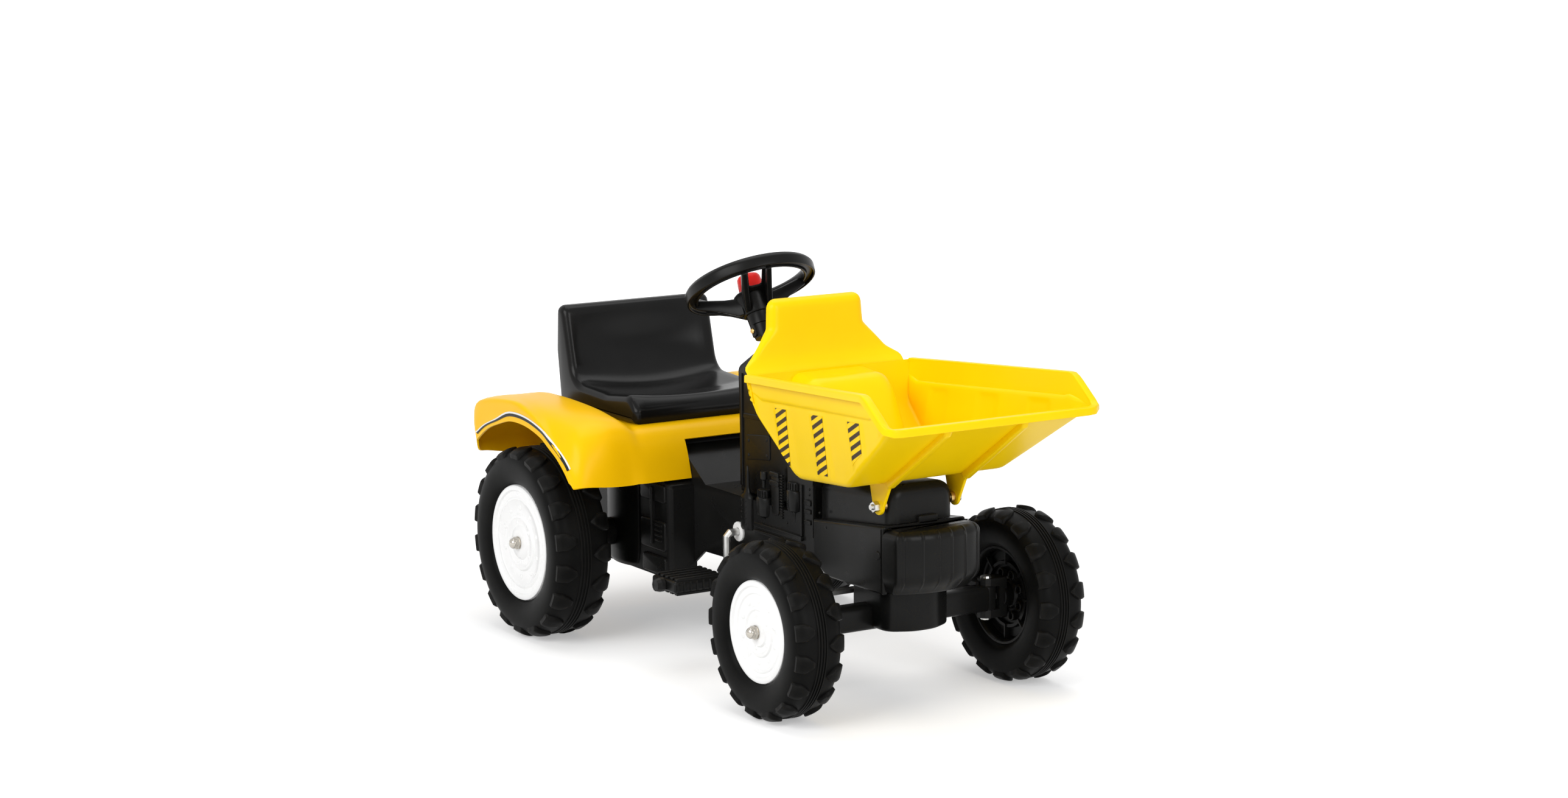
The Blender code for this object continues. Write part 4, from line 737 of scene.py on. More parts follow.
def tyre(radius, width, rim_r, lugs):
    """The tyre about Z, its outer side up: a smooth carcass with ridges, and leaf-shaped lugs on both shoulders."""
    body = tyre_body(radius, width, rim_r)
    half = width / 2
    profile = [(r, across) for across, r in body if abs(across) > 0.24 * half]
    tread = []
    for share in (-0.17, -0.06, 0.06, 0.17):
        for shift, rise in ((-1.0, 0), (-0.5, 1), (0.5, 1), (1.0, 0)):
            across = share * half + shift * TREAD_RIDGE
            tread.append((tyre_surface(body, across)[0] + rise * TREAD_RIDGE, across))
    left = [point for point in profile if point[1] < 0]
    right = [point for point in profile if point[1] > 0]
    carcass = lathe(left + tread + right, 120, closed=True)
    shape = bmesh.new()
    shape.from_mesh(carcass)
    bpy.data.meshes.remove(carcass)
    carcass_faces = len(shape.faces)
    pitch = 2 * math.pi / lugs
    for side in (-1, 1):
        for lug in range(lugs):
            centre_angle = pitch * (lug + (0.5 if side > 0 else 0.0))
            rows = lug_rows(body, half, side, centre_angle, pitch)
            grid_faces(shape, [[shape.verts.new(point) for point in row] for row in rows])
    shape.faces.ensure_lookup_table()
    # The lugs' faces take the second material, the tyre rubber painted lighter as a highlight
    for face in shape.faces[carcass_faces:]:
        face.material_index = 1
    bmesh.ops.recalc_face_normals(shape, faces=shape.faces)
    return to_mesh(shape)


def disc(rim_r, face, thickness):
    """The white disc: rounded edge, two raised rings, a shallow dish with small bumps, a centre boss."""
    r = rim_r - GAP
    profile = [(AXLE_BORE, thickness), (r - 0.001, thickness), (r, thickness - 0.001), (r, 0.0045)]
    profile += [(r - 0.0012, 0.0015), (r - 0.0042, 0), (r - 0.0085, 0.0006), (r - 0.0105, 0.0034)]
    for share, depth in (
        (0.80, 0.0044), (0.775, 0.0026), (0.745, 0.0026), (0.72, 0.0046), (0.50, 0.0058), (0.475, 0.0034),
        (0.43, 0.0030), (0.40, 0.0050), (0.30, 0.0050), (0.27, 0.0022), (0.17, 0.0012),
    ):
        profile.append((share * r, depth))
    profile.append((AXLE_BORE, 0.0010))
    parts = [lathe([(u, face - depth) for u, depth in profile], 96, closed=True)]
    dome = [(0.0042, 0.0), (0.0038, 0.0014), (0.0026, 0.0022), (0.0012, 0.0026), (0.0, 0.0027)]
    for ring, count in ((0.60, 10), (0.35, 5)):
        for step in range(count):
            angle = 2 * math.pi * (step + 0.5) / count
            place = (ring * r * math.cos(angle), ring * r * math.sin(angle), face - 0.0062)
            parts.append(moved(lathe(dome, 14), Matrix.Translation(place)))
    return merged(*parts)


def wheel_back(rim_r, width, face, thickness, hub_back):
    """The black wheel behind the disc, with the ribs and pockets of its inner side."""
    outer = rim_r - GAP
    back = -0.72 * width / 2
    front = face - thickness - GAP
    web = -0.010
    profile = [(outer, front), (outer, back + 0.002), (outer - 0.002, back), (outer - 0.005, back)]
    profile += [(outer - 0.008, back + 0.004), (outer - 0.009, web - 0.002), (outer - 0.011, web)]
    for share, drop in ((0.68, 0), (0.66, 0.006), (0.60, 0.006), (0.58, 0), (0.30, 0), (0.27, 0.003)):
        profile.append((share * rim_r, web - drop))
    profile += [(0.0185, web - 0.004), (0.0175, hub_back + 0.001), (0.0165, hub_back)]
    profile += [(WHEEL_BORE, hub_back), (WHEEL_BORE, front)]
    parts = [lathe(profile, 72, closed=True)]
    cup = [(0.0075, 0.0005), (0.0075, -0.006), (0.0068, -0.0068)]
    cup += [(0.0055, -0.0068), (0.0048, -0.006), (0.0046, 0.0005)]
    shift = Matrix.Translation((0.44 * rim_r, 0, web))
    for step in range(8):
        angle = math.radians(45 * step)
        rib = box_mesh((0.60 * rim_r, -0.0013, web - 0.008), (outer - 0.006, 0.0013, web + 0.001))
        parts.append(moved(rib, Matrix.Rotation(angle, 4, "Z")))
        parts.append(moved(lathe(cup, 18), Matrix.Rotation(angle + 0.39, 4, "Z") @ shift))
    return merged(*parts)


def cap_nut(seat):
    """A hexagon nut with a washer face and a domed end."""
    nut = bevelled(prism(arc((0, 0), 0.0105, 0, 300, 5), seat + 0.0008, seat + 0.0066, "XY"), 0.0009, 2)
    washer = [(0.0, seat), (0.0098, seat), (0.0100, seat + 0.0010), (0.0, seat + 0.0010)]
    dome_r = 0.0083
    dome = [(dome_r, seat + 0.006), (dome_r, seat + 0.0082)]
    dome += [(dome_r * math.cos(a), seat + 0.0082 + 0.0068 * math.sin(a)) for a in (0.25, 0.5, 0.8, 1.1, 1.35)]
    dome.append((0.0, seat + 0.0150))
    return merged(nut, lathe(washer, 32), lathe(dome, 32))


def laid(mesh, place, side):
    """Turns a piece drawn about Z, outer side up, onto its place on the left (1) or right (-1) side."""
    return moved(mesh, Matrix.Translation(place) @ Matrix.Rotation(-side * math.pi / 2, 4, "X"))


def wheels():
    bodies = {"rear_left": "rear_roll_left", "rear_right": "drive_axle"}
    bodies |= {"front_left": "front_roll_left", "front_right": "front_roll_right"}
    for end, lugs in (("rear", REAR_LUGS), ("front", FRONT_LUGS)):
        radius = reach(f"{end}_tyre_left").z / 2
        width = reach(f"{end}_tyre_left").y
        centre = middle(f"{end}_tyre_left")
        rim_r = reach(f"{end}_disc_left").z / 2 + GAP
        disc_low, disc_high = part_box(f"{end}_disc_left")
        face = disc_high.y - centre.y
        thickness = disc_high.y - disc_low.y
        hub_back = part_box(f"{end}_wheel_left")[0].y - centre.y
        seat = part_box(f"{end}_cap_nut_left")[0].y - centre.y
        makers = (
            ("tyre", tyre(radius, width, rim_r, lugs), "tyre", 50),
            ("disc", disc(rim_r, face, thickness), "white", 40),
            ("wheel", wheel_back(rim_r, width, face, thickness, hub_back), "black", 35),
            ("cap_nut", cap_nut(seat), "bright", 35),
        )
        for part, mesh, material, sharp in makers:
            left = laid(mesh, centre, 1)
            for side, shape in (("left", left), ("right", flipped(left))):
                body = bodies[f"{end}_{side}"]
                obj = piece(f"{end}_{part}_{side}_look", shape, material, body, sharp, carry=False)
                if part == "tyre":
                    # The lugs get the lighter copy of the tyre rubber, a painted highlight
                    obj.data.materials.append(LOOKS["tyre_lug_painted_highlight"])


# Bucket


def rim_value(x, part):
    """A value of the rim's line at x: part 1 is its height, part 2 its half width."""
    return table_value([(corner[0], corner[part]) for corner in (RIM_BACK, RIM_FRONT, LIP)], x)


def rim_height(x):
    return rim_value(x, 1)


def rim_half(x):
    return rim_value(x, 2)


def bucket_path():
    """The bucket's side profile with rounded corners: (x, z, half width), evenly spaced."""
    table = (RIM_BACK, BACK_LOW, FLOOR_BACK, FLOOR_FRONT, LIP)
    radii = ((), (0.030,), (0.028,), (0.030,), ())
    outline = rounded([(*corner[:2], *radius) for corner, radius in zip(table, radii)], 8, closed=False)
    widths = [(corner[0], corner[2]) for corner in table]
    return [(x, z, table_value(widths, x)) for x, z in spaced(outline, 0.006)]


def wall_relief(x, depth, above):
    """How far the side wall stands in from its plain form: below a band under the rim, less on upright ribs."""
    below = soft_step(depth, LEDGE_DROP - 0.0016, LEDGE_DROP + 0.0016)
    ribbed = soft_step(depth, LEDGE_DROP + 0.004, LEDGE_DROP + 0.009)
    ends = soft_step(x, 0.460, 0.470) * (1 - soft_step(x, 0.826, 0.852))
    rib = 0.0
    for start, end in DECAL_X:
        rib = max(rib, soft_step(x, start - 0.006, start - 0.001) * (1 - soft_step(x, end + 0.001, end + 0.006)))
    return below * soft_step(above, 0.004, 0.014) * ends * LEDGE_DEPTH * (1 - RIB_SHARE * rib * ribbed)


def wall_point(x_bottom, z_bottom, half_bottom, depth):
    """A point of the near wall (its y given as a positive half width) at a depth below the rim."""
    x_top = x_bottom
    if x_bottom < BACK_LOW[0] + 0.001:
        x_top = RIM_BACK[0]
    z_top = rim_height(x_top)
    height = max(1e-6, z_top - z_bottom)
    t = 1 - min(1.0, depth / height)
    x = x_bottom + (x_top - x_bottom) * t
    half = half_bottom + (rim_half(x_top) - half_bottom) * t
    shown = depth / min(1.0, height / FULL_HEIGHT)
    return x, half - wall_relief(x, shown, height - depth), z_top - depth


def wall_depths(height):
    """Depths below the rim down a wall, close together at the band's lower edge."""
    steps = (-0.0055, -0.0018, -0.0006, 0.0006, 0.0018, 0.0042, 0.0066, 0.0095)
    fixed = [0.0, 0.008, 0.016, 0.024] + [LEDGE_DROP + step for step in steps]
    squeeze = min(1.0, height / FULL_HEIGHT)
    depths = [depth * squeeze for depth in fixed]
    foot = height - min(CORNER_R, height * 0.45)
    return depths + [depths[-1] + (foot - depths[-1]) * step / 12 for step in range(1, 13)]


def hump_height(x, y):
    """The height of the hump's hood at a place, far below where there is none."""
    inside = HUMP_HALF_W - abs(y)
    if inside >= HUMP_ROUNDING:
        side_drop = 0.0
    elif inside > 0:
        side_drop = HUMP_ROUNDING - math.sqrt(HUMP_ROUNDING**2 - (HUMP_ROUNDING - inside) ** 2)
    else:
        side_drop = HUMP_ROUNDING - inside * 9.0
    rise = (HUMP_FRONT - x) * HUMP_SLOPE
    if rise >= HUMP_SOFT:
        front_drop = 0.0
    elif rise > -HUMP_SOFT:
        front_drop = (HUMP_SOFT - rise) ** 2 / (4 * HUMP_SOFT)
    else:
        front_drop = -rise
    back_rise = 0.003 * (1 - soft_step(x, 0.452, 0.490))
    return HUMP_TOP + back_rise - side_drop - front_drop


def floor_places(inner):
    """Places across the floor from the left wall to the right one, close together on the hump's sides."""
    half = [0.0, 0.015, 0.03, 0.042, 0.050, 0.0552, 0.0600, 0.0638, 0.0664, 0.0682, 0.0694, 0.0706, 0.0726]
    half += [0.0780, 0.0860]
    half += [half[-1] + (inner - half[-1]) * step / 5 for step in range(1, 6)]
    return list(reversed(half)) + [-place for place in half[1:]]


def bucket_skin():
    """The bucket's outer surface as sections along its profile, from one rim over the bottom to the other."""
    rows = []
    for x, z, half in bucket_path():
        height = rim_height(max(x, RIM_BACK[0])) - z
        side = [wall_point(x, z, half, depth) for depth in wall_depths(height)]
        foot = side[-1]
        inner = half - CORNER_R
        bend = []
        for step in range(1, 6):
            s = step / 6
            across = (1 - s) ** 2 * foot[1] + 2 * s * (1 - s) * half + s * s * inner
            up = (1 - s) ** 2 * foot[2] + 2 * s * (1 - s) * z + s * s * z
            bend.append((x, across, up))
        bottom = [(x, y, max(z, hump_height(x, y))) for y in floor_places(inner)]
        rows.append(side + bend + bottom + other_side(side + bend))
    return walled(facing(shape_of(rows), -1), BUCKET_T)


def swept(path, section):
    """A section of (outward, upward) points carried along a path and kept upright, its ends filled."""
    places = [Vector(point) for point in path]
    rows = []
    for before, place, after in zip(places[:1] + places, places, places[1:] + places[-1:]):
        along = (after - before).normalized()
        out = Vector((0, 0, 1)).cross(along).normalized()
        rise = along.cross(out).normalized()
        rows.append([place + out * u + rise * v for u, v in section])
    return grid_mesh(rows, capped=True)


def rim_path():
    """The rim's line from the left back corner round the mouth to the right back corner."""
    left = [(RIM_BACK[0] + 0.004, RIM_BACK[2], RIM_BACK[1])]
    x, z, half = RIM_FRONT
    for along in [RIM_BACK[0] + (x - RIM_BACK[0]) * share for share in (0.25, 0.5, 0.75)] + [x - 0.010]:
        left.append((along, rim_half(along), rim_height(along)))
    left += [(x - 0.003, half, z - 0.001), (x + 0.004, half, z - 0.0045), (x + 0.012, half, z - 0.010)]
    x, z, half = LIP
    left += [(x - 0.010, half, z + 0.009), (x - 0.003, half - 0.001, z + 0.003)]
    left += [(x, half - 0.007, z + 0.0005), (x + 0.0005, half - 0.016, z)]
    return left + other_side(left)


def headboard():
    """The raised back plate: a waisted panel, bent back at half its height, its edges rolled to the rear."""
    _, low, half_w = RIM_BACK
    corners = [(half_w - 0.006, low - 0.016), (half_w - 0.005, low + 0.006, 0.006), (0.1150, 0.4790, 0.022)]
    corners += [(0.0815, 0.517, 0.009), (0.0790, HEADBOARD_TOP, 0.013), (0.0, HEADBOARD_TOP)]
    widths = [(v, u) for u, v in rounded(corners, 7, closed=False)[:-1]]
    profile = [(low - 0.020, 0.4495), (0.455, 0.4460), (0.466, 0.4365), (0.480, 0.4285), (0.500, 0.4240)]
    profile = curve_through(profile + [(0.520, 0.4215), (0.545, 0.4200), (HEADBOARD_TOP + 0.002, 0.4195)], 6)
    drops = (0.0, 0.0005, 0.0015, 0.0030, 0.0050, 0.0075, 0.0105, 0.0140)
    heights = [HEADBOARD_TOP - drop for drop in drops]
    heights += [heights[-1] + (widths[0][0] - heights[-1]) * step / 30 for step in range(1, 31)]
    rows = []
    for height in heights:
        width = table_value(widths, height)
        roll = 0.0005 + 0.0055 * soft_step(height, 0.462, 0.480) + 0.006 * soft_step(height, 0.490, 0.520)
        places = [width - drop for drop in drops]
        places += [places[-1] * (1 - step / 8) for step in range(1, 9)]
        row = []
        for y in places + [-y for y in reversed(places[:-1])]:
            inward = max(0.0, 1 - min(width - abs(y), HEADBOARD_TOP - height) / roll)
            back = roll * (1 - math.sqrt(max(0.0, 1 - inward * inward)))
            row.append((table_value(profile, height) - back, y, height))
        rows.append(row)
    return walled(grid_mesh(rows), BUCKET_T, 0.0)


def ear(side):
    """A pivot ear below the floor, carried on as a rib up the front slope."""
    floor, lip = Vector(FLOOR_FRONT[:2]), Vector(LIP[:2])
    slope = (lip - floor).normalized()
    down = Vector((slope.y, -slope.x)) * 0.009
    outer_lip = lip - Vector((0.020, 0.016))
    top = [tuple(lip - Vector((0.008, 0.0035))), tuple(floor + Vector((0, 0.003)))]
    outline = [(0.650, 0.334), (0.660, 0.328, 0.012)] + arc(PIVOT, 0.0125, 190, 355, 14)
    outline += [(*(floor + down), 0.012), (*(outer_lip + down * 0.5), 0.010)] + top
    plate = prism(rounded(outline, 5), side * 0.0621, side * 0.0672)
    ridge = [(*(floor + down * 1.12), 0.004), (*(outer_lip + down * 0.62), 0.006)] + top
    rib = prism(rounded(ridge, 4), side * 0.0588, side * 0.0705)
    return merged(bevelled(plate, 0.0014, 3, 50), bevelled(rib, 0.0026, 3, 50))


def decals():
    """Thin printed strips on the ribs of the right side wall."""
    path = [point for point in bucket_path() if point[0] > BACK_LOW[0]]
    heights = [(x, z) for x, z, half in path]
    widths = [(x, half) for x, z, half in path]
    first = LEDGE_DROP + 0.0085
    strips = []
    for start, end in DECAL_X:
        rows = []
        for column in range(9):
            top_x = start + (end - start) * column / 8
            last = rim_height(top_x) - table_value(heights, top_x) - 0.013
            row = []
            for step in range(25):
                depth = first + (last - first) * step / 24
                x = top_x - DECAL_LEAN * (depth - first)
                z_low = table_value(heights, x)
                depth = min(depth, rim_height(x) - z_low - 0.009)
                px, py, pz = wall_point(x, z_low, table_value(widths, x), depth)
                row.append((px, -py - 0.0004, pz))
            rows.append(row)
        strips.append(walled(grid_mesh(rows), 0.0003, 0.0))
    return merged(*strips)


def bucket():
    corners = [(-0.0035, 0.0026, 0.0018), (-0.0035, -0.0020), (0.0066, -0.0022, 0.001)]
    corners += [(0.0074, -0.0085, 0.0008), (0.0088, -0.0085, 0.001), (0.0082, 0.0026, 0.0026)]
    rim = swept(rim_path(), rounded(corners, 4))
    mesh = merged(bucket_skin(), rim, headboard(), ear(1), ear(-1))
    piece("bucket_look", mesh, "bucket_yellow", "tipper", 45)
    both_sides("hazard_strips", decals(), ("right", "left"), "hazard_print", "tipper")


# Rear cowl and seat


def arch(angle, grow):
    """A point of the wing's side at an angle about the rear axle, from the arch's edge outward."""
    knots = [(34.5, 0.182), (65, 0.176), (90, 0.182), (118, 0.195), (141, 0.216)]
    radius = table_value(knots, angle) + grow
    turn = math.radians(angle)
    return radius * math.cos(turn), REAR_R + radius * math.sin(turn)


def mixed(line, other, share, lift=0.0):
    return [(x + (u - x) * share, z + (v - z) * share + lift) for (x, z), (u, v) in zip(line, other)]


def cowl_stations():
    """Side profiles of half the cowl with their place across, from the wing's edge to the middle."""
    angles = (141, 130, 118, 105, 90, 75, 65, 55, 45, 34.5)
    edge = [arch(angle, 0.0) for angle in angles]
    over = []
    for angle in angles[3:]:
        rise = (angle - angles[-1]) / (angles[0] - angles[-1])
        over.append(arch(angle, 0.004 + 0.046 * rise**1.3))
    band = [(-0.170, 0.287), (-0.177, 0.318), (-0.158, 0.346)] + over
    raised = [(x * 1.01 - 0.001, z + 0.003) for x, z in over]
    corner = [(-0.178, 0.267), (-0.186, 0.312), (-0.164, 0.350)] + raised
    crest = [(-0.187, 0.257), (-0.192, 0.305), (-0.172, 0.345), (-0.125, 0.360), (-0.060, 0.3625)]
    crest += [(0.015, 0.3605), (0.075, 0.355), (0.120, 0.343), (0.142, 0.310), (0.157, 0.2545)]
    deck = [(-0.192, 0.254), (-0.195, 0.298), (-0.181, 0.327), (-0.150, DECK_Z), (-0.060, DECK_Z)]
    deck += [(0.010, DECK_Z), (0.070, DECK_Z), (0.118, DECK_Z - 0.001), (0.143, 0.305), (0.160, 0.2545)]
    half = reach("rear_cowl").y / 2
    return [
        (half, edge[:-2] + [arch(46, 0.0), arch(39.5, 0.0)]),
        (half - 0.0008, mixed(edge, band, 0.5)[:-2] + [arch(45.5, 0.0025), arch(37.2, 0.003)]),
        (half - 0.0010, band[:-1] + [arch(35.6, 0.0045)]),
        (half - 0.008, corner),
        (half - 0.027, mixed(corner, crest, 0.6, 0.002)),
        (half - 0.065, crest),
        (half - 0.098, [(x, z - 0.001) for x, z in crest]),
        (0.158, mixed(crest, deck, 0.45)),
        (0.146, deck),
        (0.132, deck),
    ]


def cowl_rows():
    """The wing's outer surface as lines from its edge to the deck, one for each step along it."""
    lines = []
    for place, profile in cowl_stations():
        lines.append([(x, place, z) for x, z in curve_through(profile, 5)])
    rows = []
    for points in zip(*lines):
        rows.append([Vector(point) for point in curve_through(points, 4)])
    return rows


def cowl():
    rows = []
    for row in cowl_rows():
        half = row + [row[-1].lerp(Vector((row[-1].x, 0, row[-1].z)), step / 10) for step in range(1, 11)]
        rows.append(half + other_side(half[:-1]))
    shape = shape_of(rows)
    passage = []
    for face in shape.faces:
        centre = face.calc_center_median()
        if centre.x > 0.10 and abs(centre.y) < SPINE_HALF_W + 0.003 and centre.z < DECK_Z - 0.022:
            passage.append(face)
    bmesh.ops.delete(shape, geom=passage, context="FACES")
    shell = walled(facing(shape, 1), COWL_T)
    piece("rear_cowl_look", shell, "cowl_yellow", "frame", 45)


def walk(row, distance):
    """The place and direction at a distance along a line of points."""
    for a, b in zip(row, row[1:]):
        step = (b - a).length
        if distance <= step:
            return a.lerp(b, distance / step), (b - a).normalized()
        distance -= step
    return row[-1], (row[-1] - row[-2]).normalized()


def cowl_stripe(name, near, far, material):
    """A printed line along the wing's arch, between two distances from its edge."""
    rows = cowl_rows()
    taken = rows[round(0.04 * len(rows)) : round(0.90 * len(rows))]
    line = []
    for before, row, after in zip(taken[:1] + taken, taken, taken[1:] + taken[-1:]):
        points = []
        for distance in (near, far):
            place, along = walk(row, distance)
            run = walk(after, distance)[0] - walk(before, distance)[0]
            normal = along.cross(run).normalized()
            points.append(place + normal * (STRIPE_LIFT if normal.y > 0 else -STRIPE_LIFT))
        line.append(points)
    both_sides(name, walled(grid_mesh(line), 0.0004, 0.0), ("left", "right"), material, "frame")


def seat():
    """A moulded bucket seat: dished pan, hollowed backrest, soft edges."""
    low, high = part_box("seat")
    half = high.y
    corners = [(SEAT_BACK + 0.012, low.z, 0.004), (0.104, low.z, 0.004)]
    corners += [(0.110, 0.3563, 0.013), (0.088, 0.380, 0.022)]
    corners += [(0.010, 0.371, 0.060), (-0.092, 0.376, 0.034), (-0.122, 0.4935, 0.0125), (-0.148, 0.495, 0.0125)]
    outline = rounded(corners + [(SEAT_BACK, 0.420, 0.050)], 7)
    outline = spaced(outline + [outline[0]], 0.006)[:-1]

    def dished(x, y, z):
        across = 1 - min(1.0, (abs(y) / (half - 0.016)) ** 2)
        pan = soft_step(z, 0.352, 0.366) * soft_step(x, -0.098, -0.060) * (1 - soft_step(x, 0.070, 0.104))
        back = soft_step(z, 0.385, 0.425) * (1 - soft_step(z, 0.425, 0.486)) * soft_step(x, -0.140, -0.128)
        return x - 0.011 * back * across, y, z - 0.010 * pan * across

    mesh = pillow(outline, -half, half, 0.0115, rows=22, bend=dished)
    piece("seat_look", mesh, "gloss", "frame", 50)


# Steering


def steering_place():
    """Carries a piece drawn about the steering axis to its place."""
    return Matrix.Translation((STEER_X, 0, STEER_Z)) @ Matrix.Rotation(-STEER_TILT, 4, "Y")


def wheel_ring():
    corners = [(-0.0092, 0.0040, 0.0060), (-0.0035, 0.0092, 0.0040), (0.0045, 0.0092, 0.0045)]
    corners += [(0.0098, 0.0030, 0.0060), (0.0090, -0.0110, 0.0014), (0.0058, -0.0114, 0.0010)]
    corners += [(0.0050, -0.0060, 0.0020), (-0.0046, -0.0060, 0.0020), (-0.0054, -0.0114, 0.0010)]
    section = rounded(corners + [(-0.0086, -0.0110, 0.0014)], 3)
    return lathe([(RING_R + u, v) for u, v in section], 84, closed=True)


def spoke(turn):
    """A windowed plate that dips to the hub, with a deep rib under each side."""
    outer = [(0.022, -0.018, 0.002), (0.088, -0.0225, 0.002), (0.088, 0.0225, 0.002), (0.022, 0.018, 0.002)]
    window = [(0.040, -0.0095, 0.005), (0.080, -0.0115, 0.006), (0.080, 0.0115, 0.006), (0.040, 0.0095, 0.005)]
    outer, window = rounded(outer, 5), rounded(window, 5)

    def dipped(points, drop):
        return [(x, y, -HUB_DROP * (1 - soft_step(x, 0.012, 0.094)) - drop) for x, y in points]

    rows = [dipped(outer, 0.0), dipped(window, 0.0), dipped(window, SPOKE_T), dipped(outer, SPOKE_T)]
    parts = [bevelled(grid_mesh(rows + rows[:1], closed=True), 0.0009, 2, 50)]
    rib_side = [(0.087, -0.001), (0.087, -0.014, 0.003), (0.052, -0.032, 0.03), (0.024, -0.050, 0.004)]
    rib_side += [(0.014, -0.050), (0.014, -HUB_DROP - 0.001), (0.040, -HUB_DROP * 0.72, 0.03)]
    for side in (-1, 1):
        rib = prism(rounded(rib_side, 5), *sorted((side * 0.0125, side * 0.0205)))
        lean = Matrix.Identity(4)
        lean[1][0] = side * 0.03
        parts.append(moved(bevelled(rib, 0.0014, 3, 50), lean))
    return moved(merged(*parts), Matrix.Rotation(turn, 4, "Z"))


def steering_wheel():
    hub = [(0.0225, -0.0165), (0.0275, -0.0165), (0.0300, -0.0185), (0.0305, -0.0225), (0.0285, -0.0300)]
    hub += [(0.0245, -0.0420), (0.0240, -0.0500), (0.0232, -0.0520), (0.0200, -0.0525), (0.0192, -0.0560)]
    hub += [(0.0182, -0.0690), (0.0165, -0.0700), (0.0162, -0.0860), (0.0155, -0.0900)]
    hub += [(SHAFT_BORE, -0.0900), (SHAFT_BORE, -0.0310), (0.0225, -0.0310)]
    parts = [wheel_ring(), lathe(hub, 56, closed=True)]
    parts += [spoke(SPOKE_TURN + index * math.radians(120)) for index in range(3)]
    parts.append(pillow(oblong(-0.006, -0.088, 0.006, -0.068, 0.003), -0.0185, -0.012, (0.0015, 0.0)))
    mesh = moved(merged(*parts), steering_place())
    piece("steering_wheel_look", mesh, "black", "steering")

    dome = [(0.0, 0.0135), (0.006, 0.0133), (0.0115, 0.0126), (0.0158, 0.0108), (0.0178, 0.0080), (0.0186, 0.0030)]
    dome += [(0.0196, -0.0120), (0.0200, -0.0165), (0.0196, -0.0250), (0.0, -0.0250)]
    piece("horn_button_look", moved(lathe(dome, 48), steering_place()), "red", "horn")

    parts = [lathe([(0.0, 0.0030), (0.0030, 0.0027), (0.0042, 0.0012), (0.0042, 0.0), (0.0, 0.0)], 20)]
    for long, wide in ((0.0032, 0.0005), (0.0005, 0.0032)):
        parts.append(box_mesh((-long, -wide, 0.0022), (long, wide, 0.0032)))
    screw = laid(merged(*parts), (0, -0.0186, -0.078), -1)
    piece("wheel_screw_look", moved(screw, steering_place()), "brass_plate", "steering", 35)


# Column, nose and chassis


def column():
    low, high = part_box("dash_column")
    rear, front = low.x - AXLE_X, high.x - AXLE_X
    half = high.y
    top = 0.4425 + 0.104 * math.tan(STEER_TILT)
    corners = [(rear + 0.006, low.z), (front, low.z), (front, 0.440, 0.012), (0.405, 0.490, 0.012)]
    corners += [(rear + 0.104, top, 0.008), (rear, 0.4425, 0.014)]
    parts = [pillow(rounded(corners, 6), -half, half, 0.010)]
    panel = rounded([(0.298, 0.304, 0.004), (0.366, 0.312, 0.004), (0.366, 0.350, 0.004), (0.298, 0.342, 0.004)], 4)
    band = rounded([(0.290, 0.366, 0.003), (0.414, 0.372, 0.003), (0.414, 0.380, 0.003), (0.290, 0.374, 0.003)], 3)
    upright = rounded([(0.281, 0.262, 0.002), (0.288, 0.262, 0.002), (0.288, 0.436, 0.002), (0.281, 0.430, 0.002)], 3)
    for side in (-1, 1):
        face = side * half
        for outline, height in ((panel, 0.0016), (band, 0.0014), (upright, 0.0020)):
            parts.append(pad(outline, face, side, height))
        for x, z in ((0.306, 0.334), (0.358, 0.318), (0.306, 0.312), (0.358, 0.342)):
            parts.append(stud(x, face + side * 0.0014, z, side, 0.0026, 0.0014))
    piece("dash_column_look", merged(*parts), "black", "frame")


def pad(outline, face, side, height, rounding=0.0011):
    """A low raised field on a side wall, its outer edge rounded."""
    root = 0.0012
    if side > 0:
        return pillow(outline, face - root, face + height, (0.0, rounding))
    return pillow(outline, face - height, face + root, (rounding, 0.0))


def stud(x, y, z, side, radius, height):
    """A small round-topped rivet on a side wall."""
    dome = [(share * radius, rise * height) for share, rise in ((0, 1), (0.45, 0.93), (0.8, 0.62), (1, 0.1))]
    return laid(lathe(dome + [(radius, -0.001)], 12), (x, y, z), side)


def upright_drum(profile, x, y, sides=24, squash=0.62):
    """A turned form standing on its side wall, flattened against it."""
    flat = Matrix.Diagonal((1, squash, 1, 1))
    return moved(lathe(profile, sides), Matrix.Translation((x, y, 0)) @ flat)


def canister(x, foot, top, wall, side):
    """One of the two canisters, with a ribbed collar under its lid."""
    body = [(0.0, top), (0.0112, top), (0.0120, top - 0.001), (0.0120, top - 0.0110), (0.0148, top - 0.0120)]
    body += [(0.0158, top - 0.0135), (0.0158, foot + 0.010), (0.0140, foot + 0.004), (0.0060, foot + 0.001)]
    body += [(0.0040, foot - 0.002), (0.0030, foot - 0.014), (0.0, foot - 0.014)]
    parts = [upright_drum(body, x, wall - side * 0.001, 30, 0.66)]
    for step in range(7):
        angle = math.pi * (step + 0.5) / 7
        place = (x + 0.0122 * math.cos(angle), wall + side * (0.0082 * math.sin(angle) - 0.001), 0)
        rib = box_mesh((-0.0009, -0.0009, top - 0.0105), (0.0009, 0.0009, top - 0.0010))
        parts.append(moved(rib, Matrix.Translation(place)))
    return parts


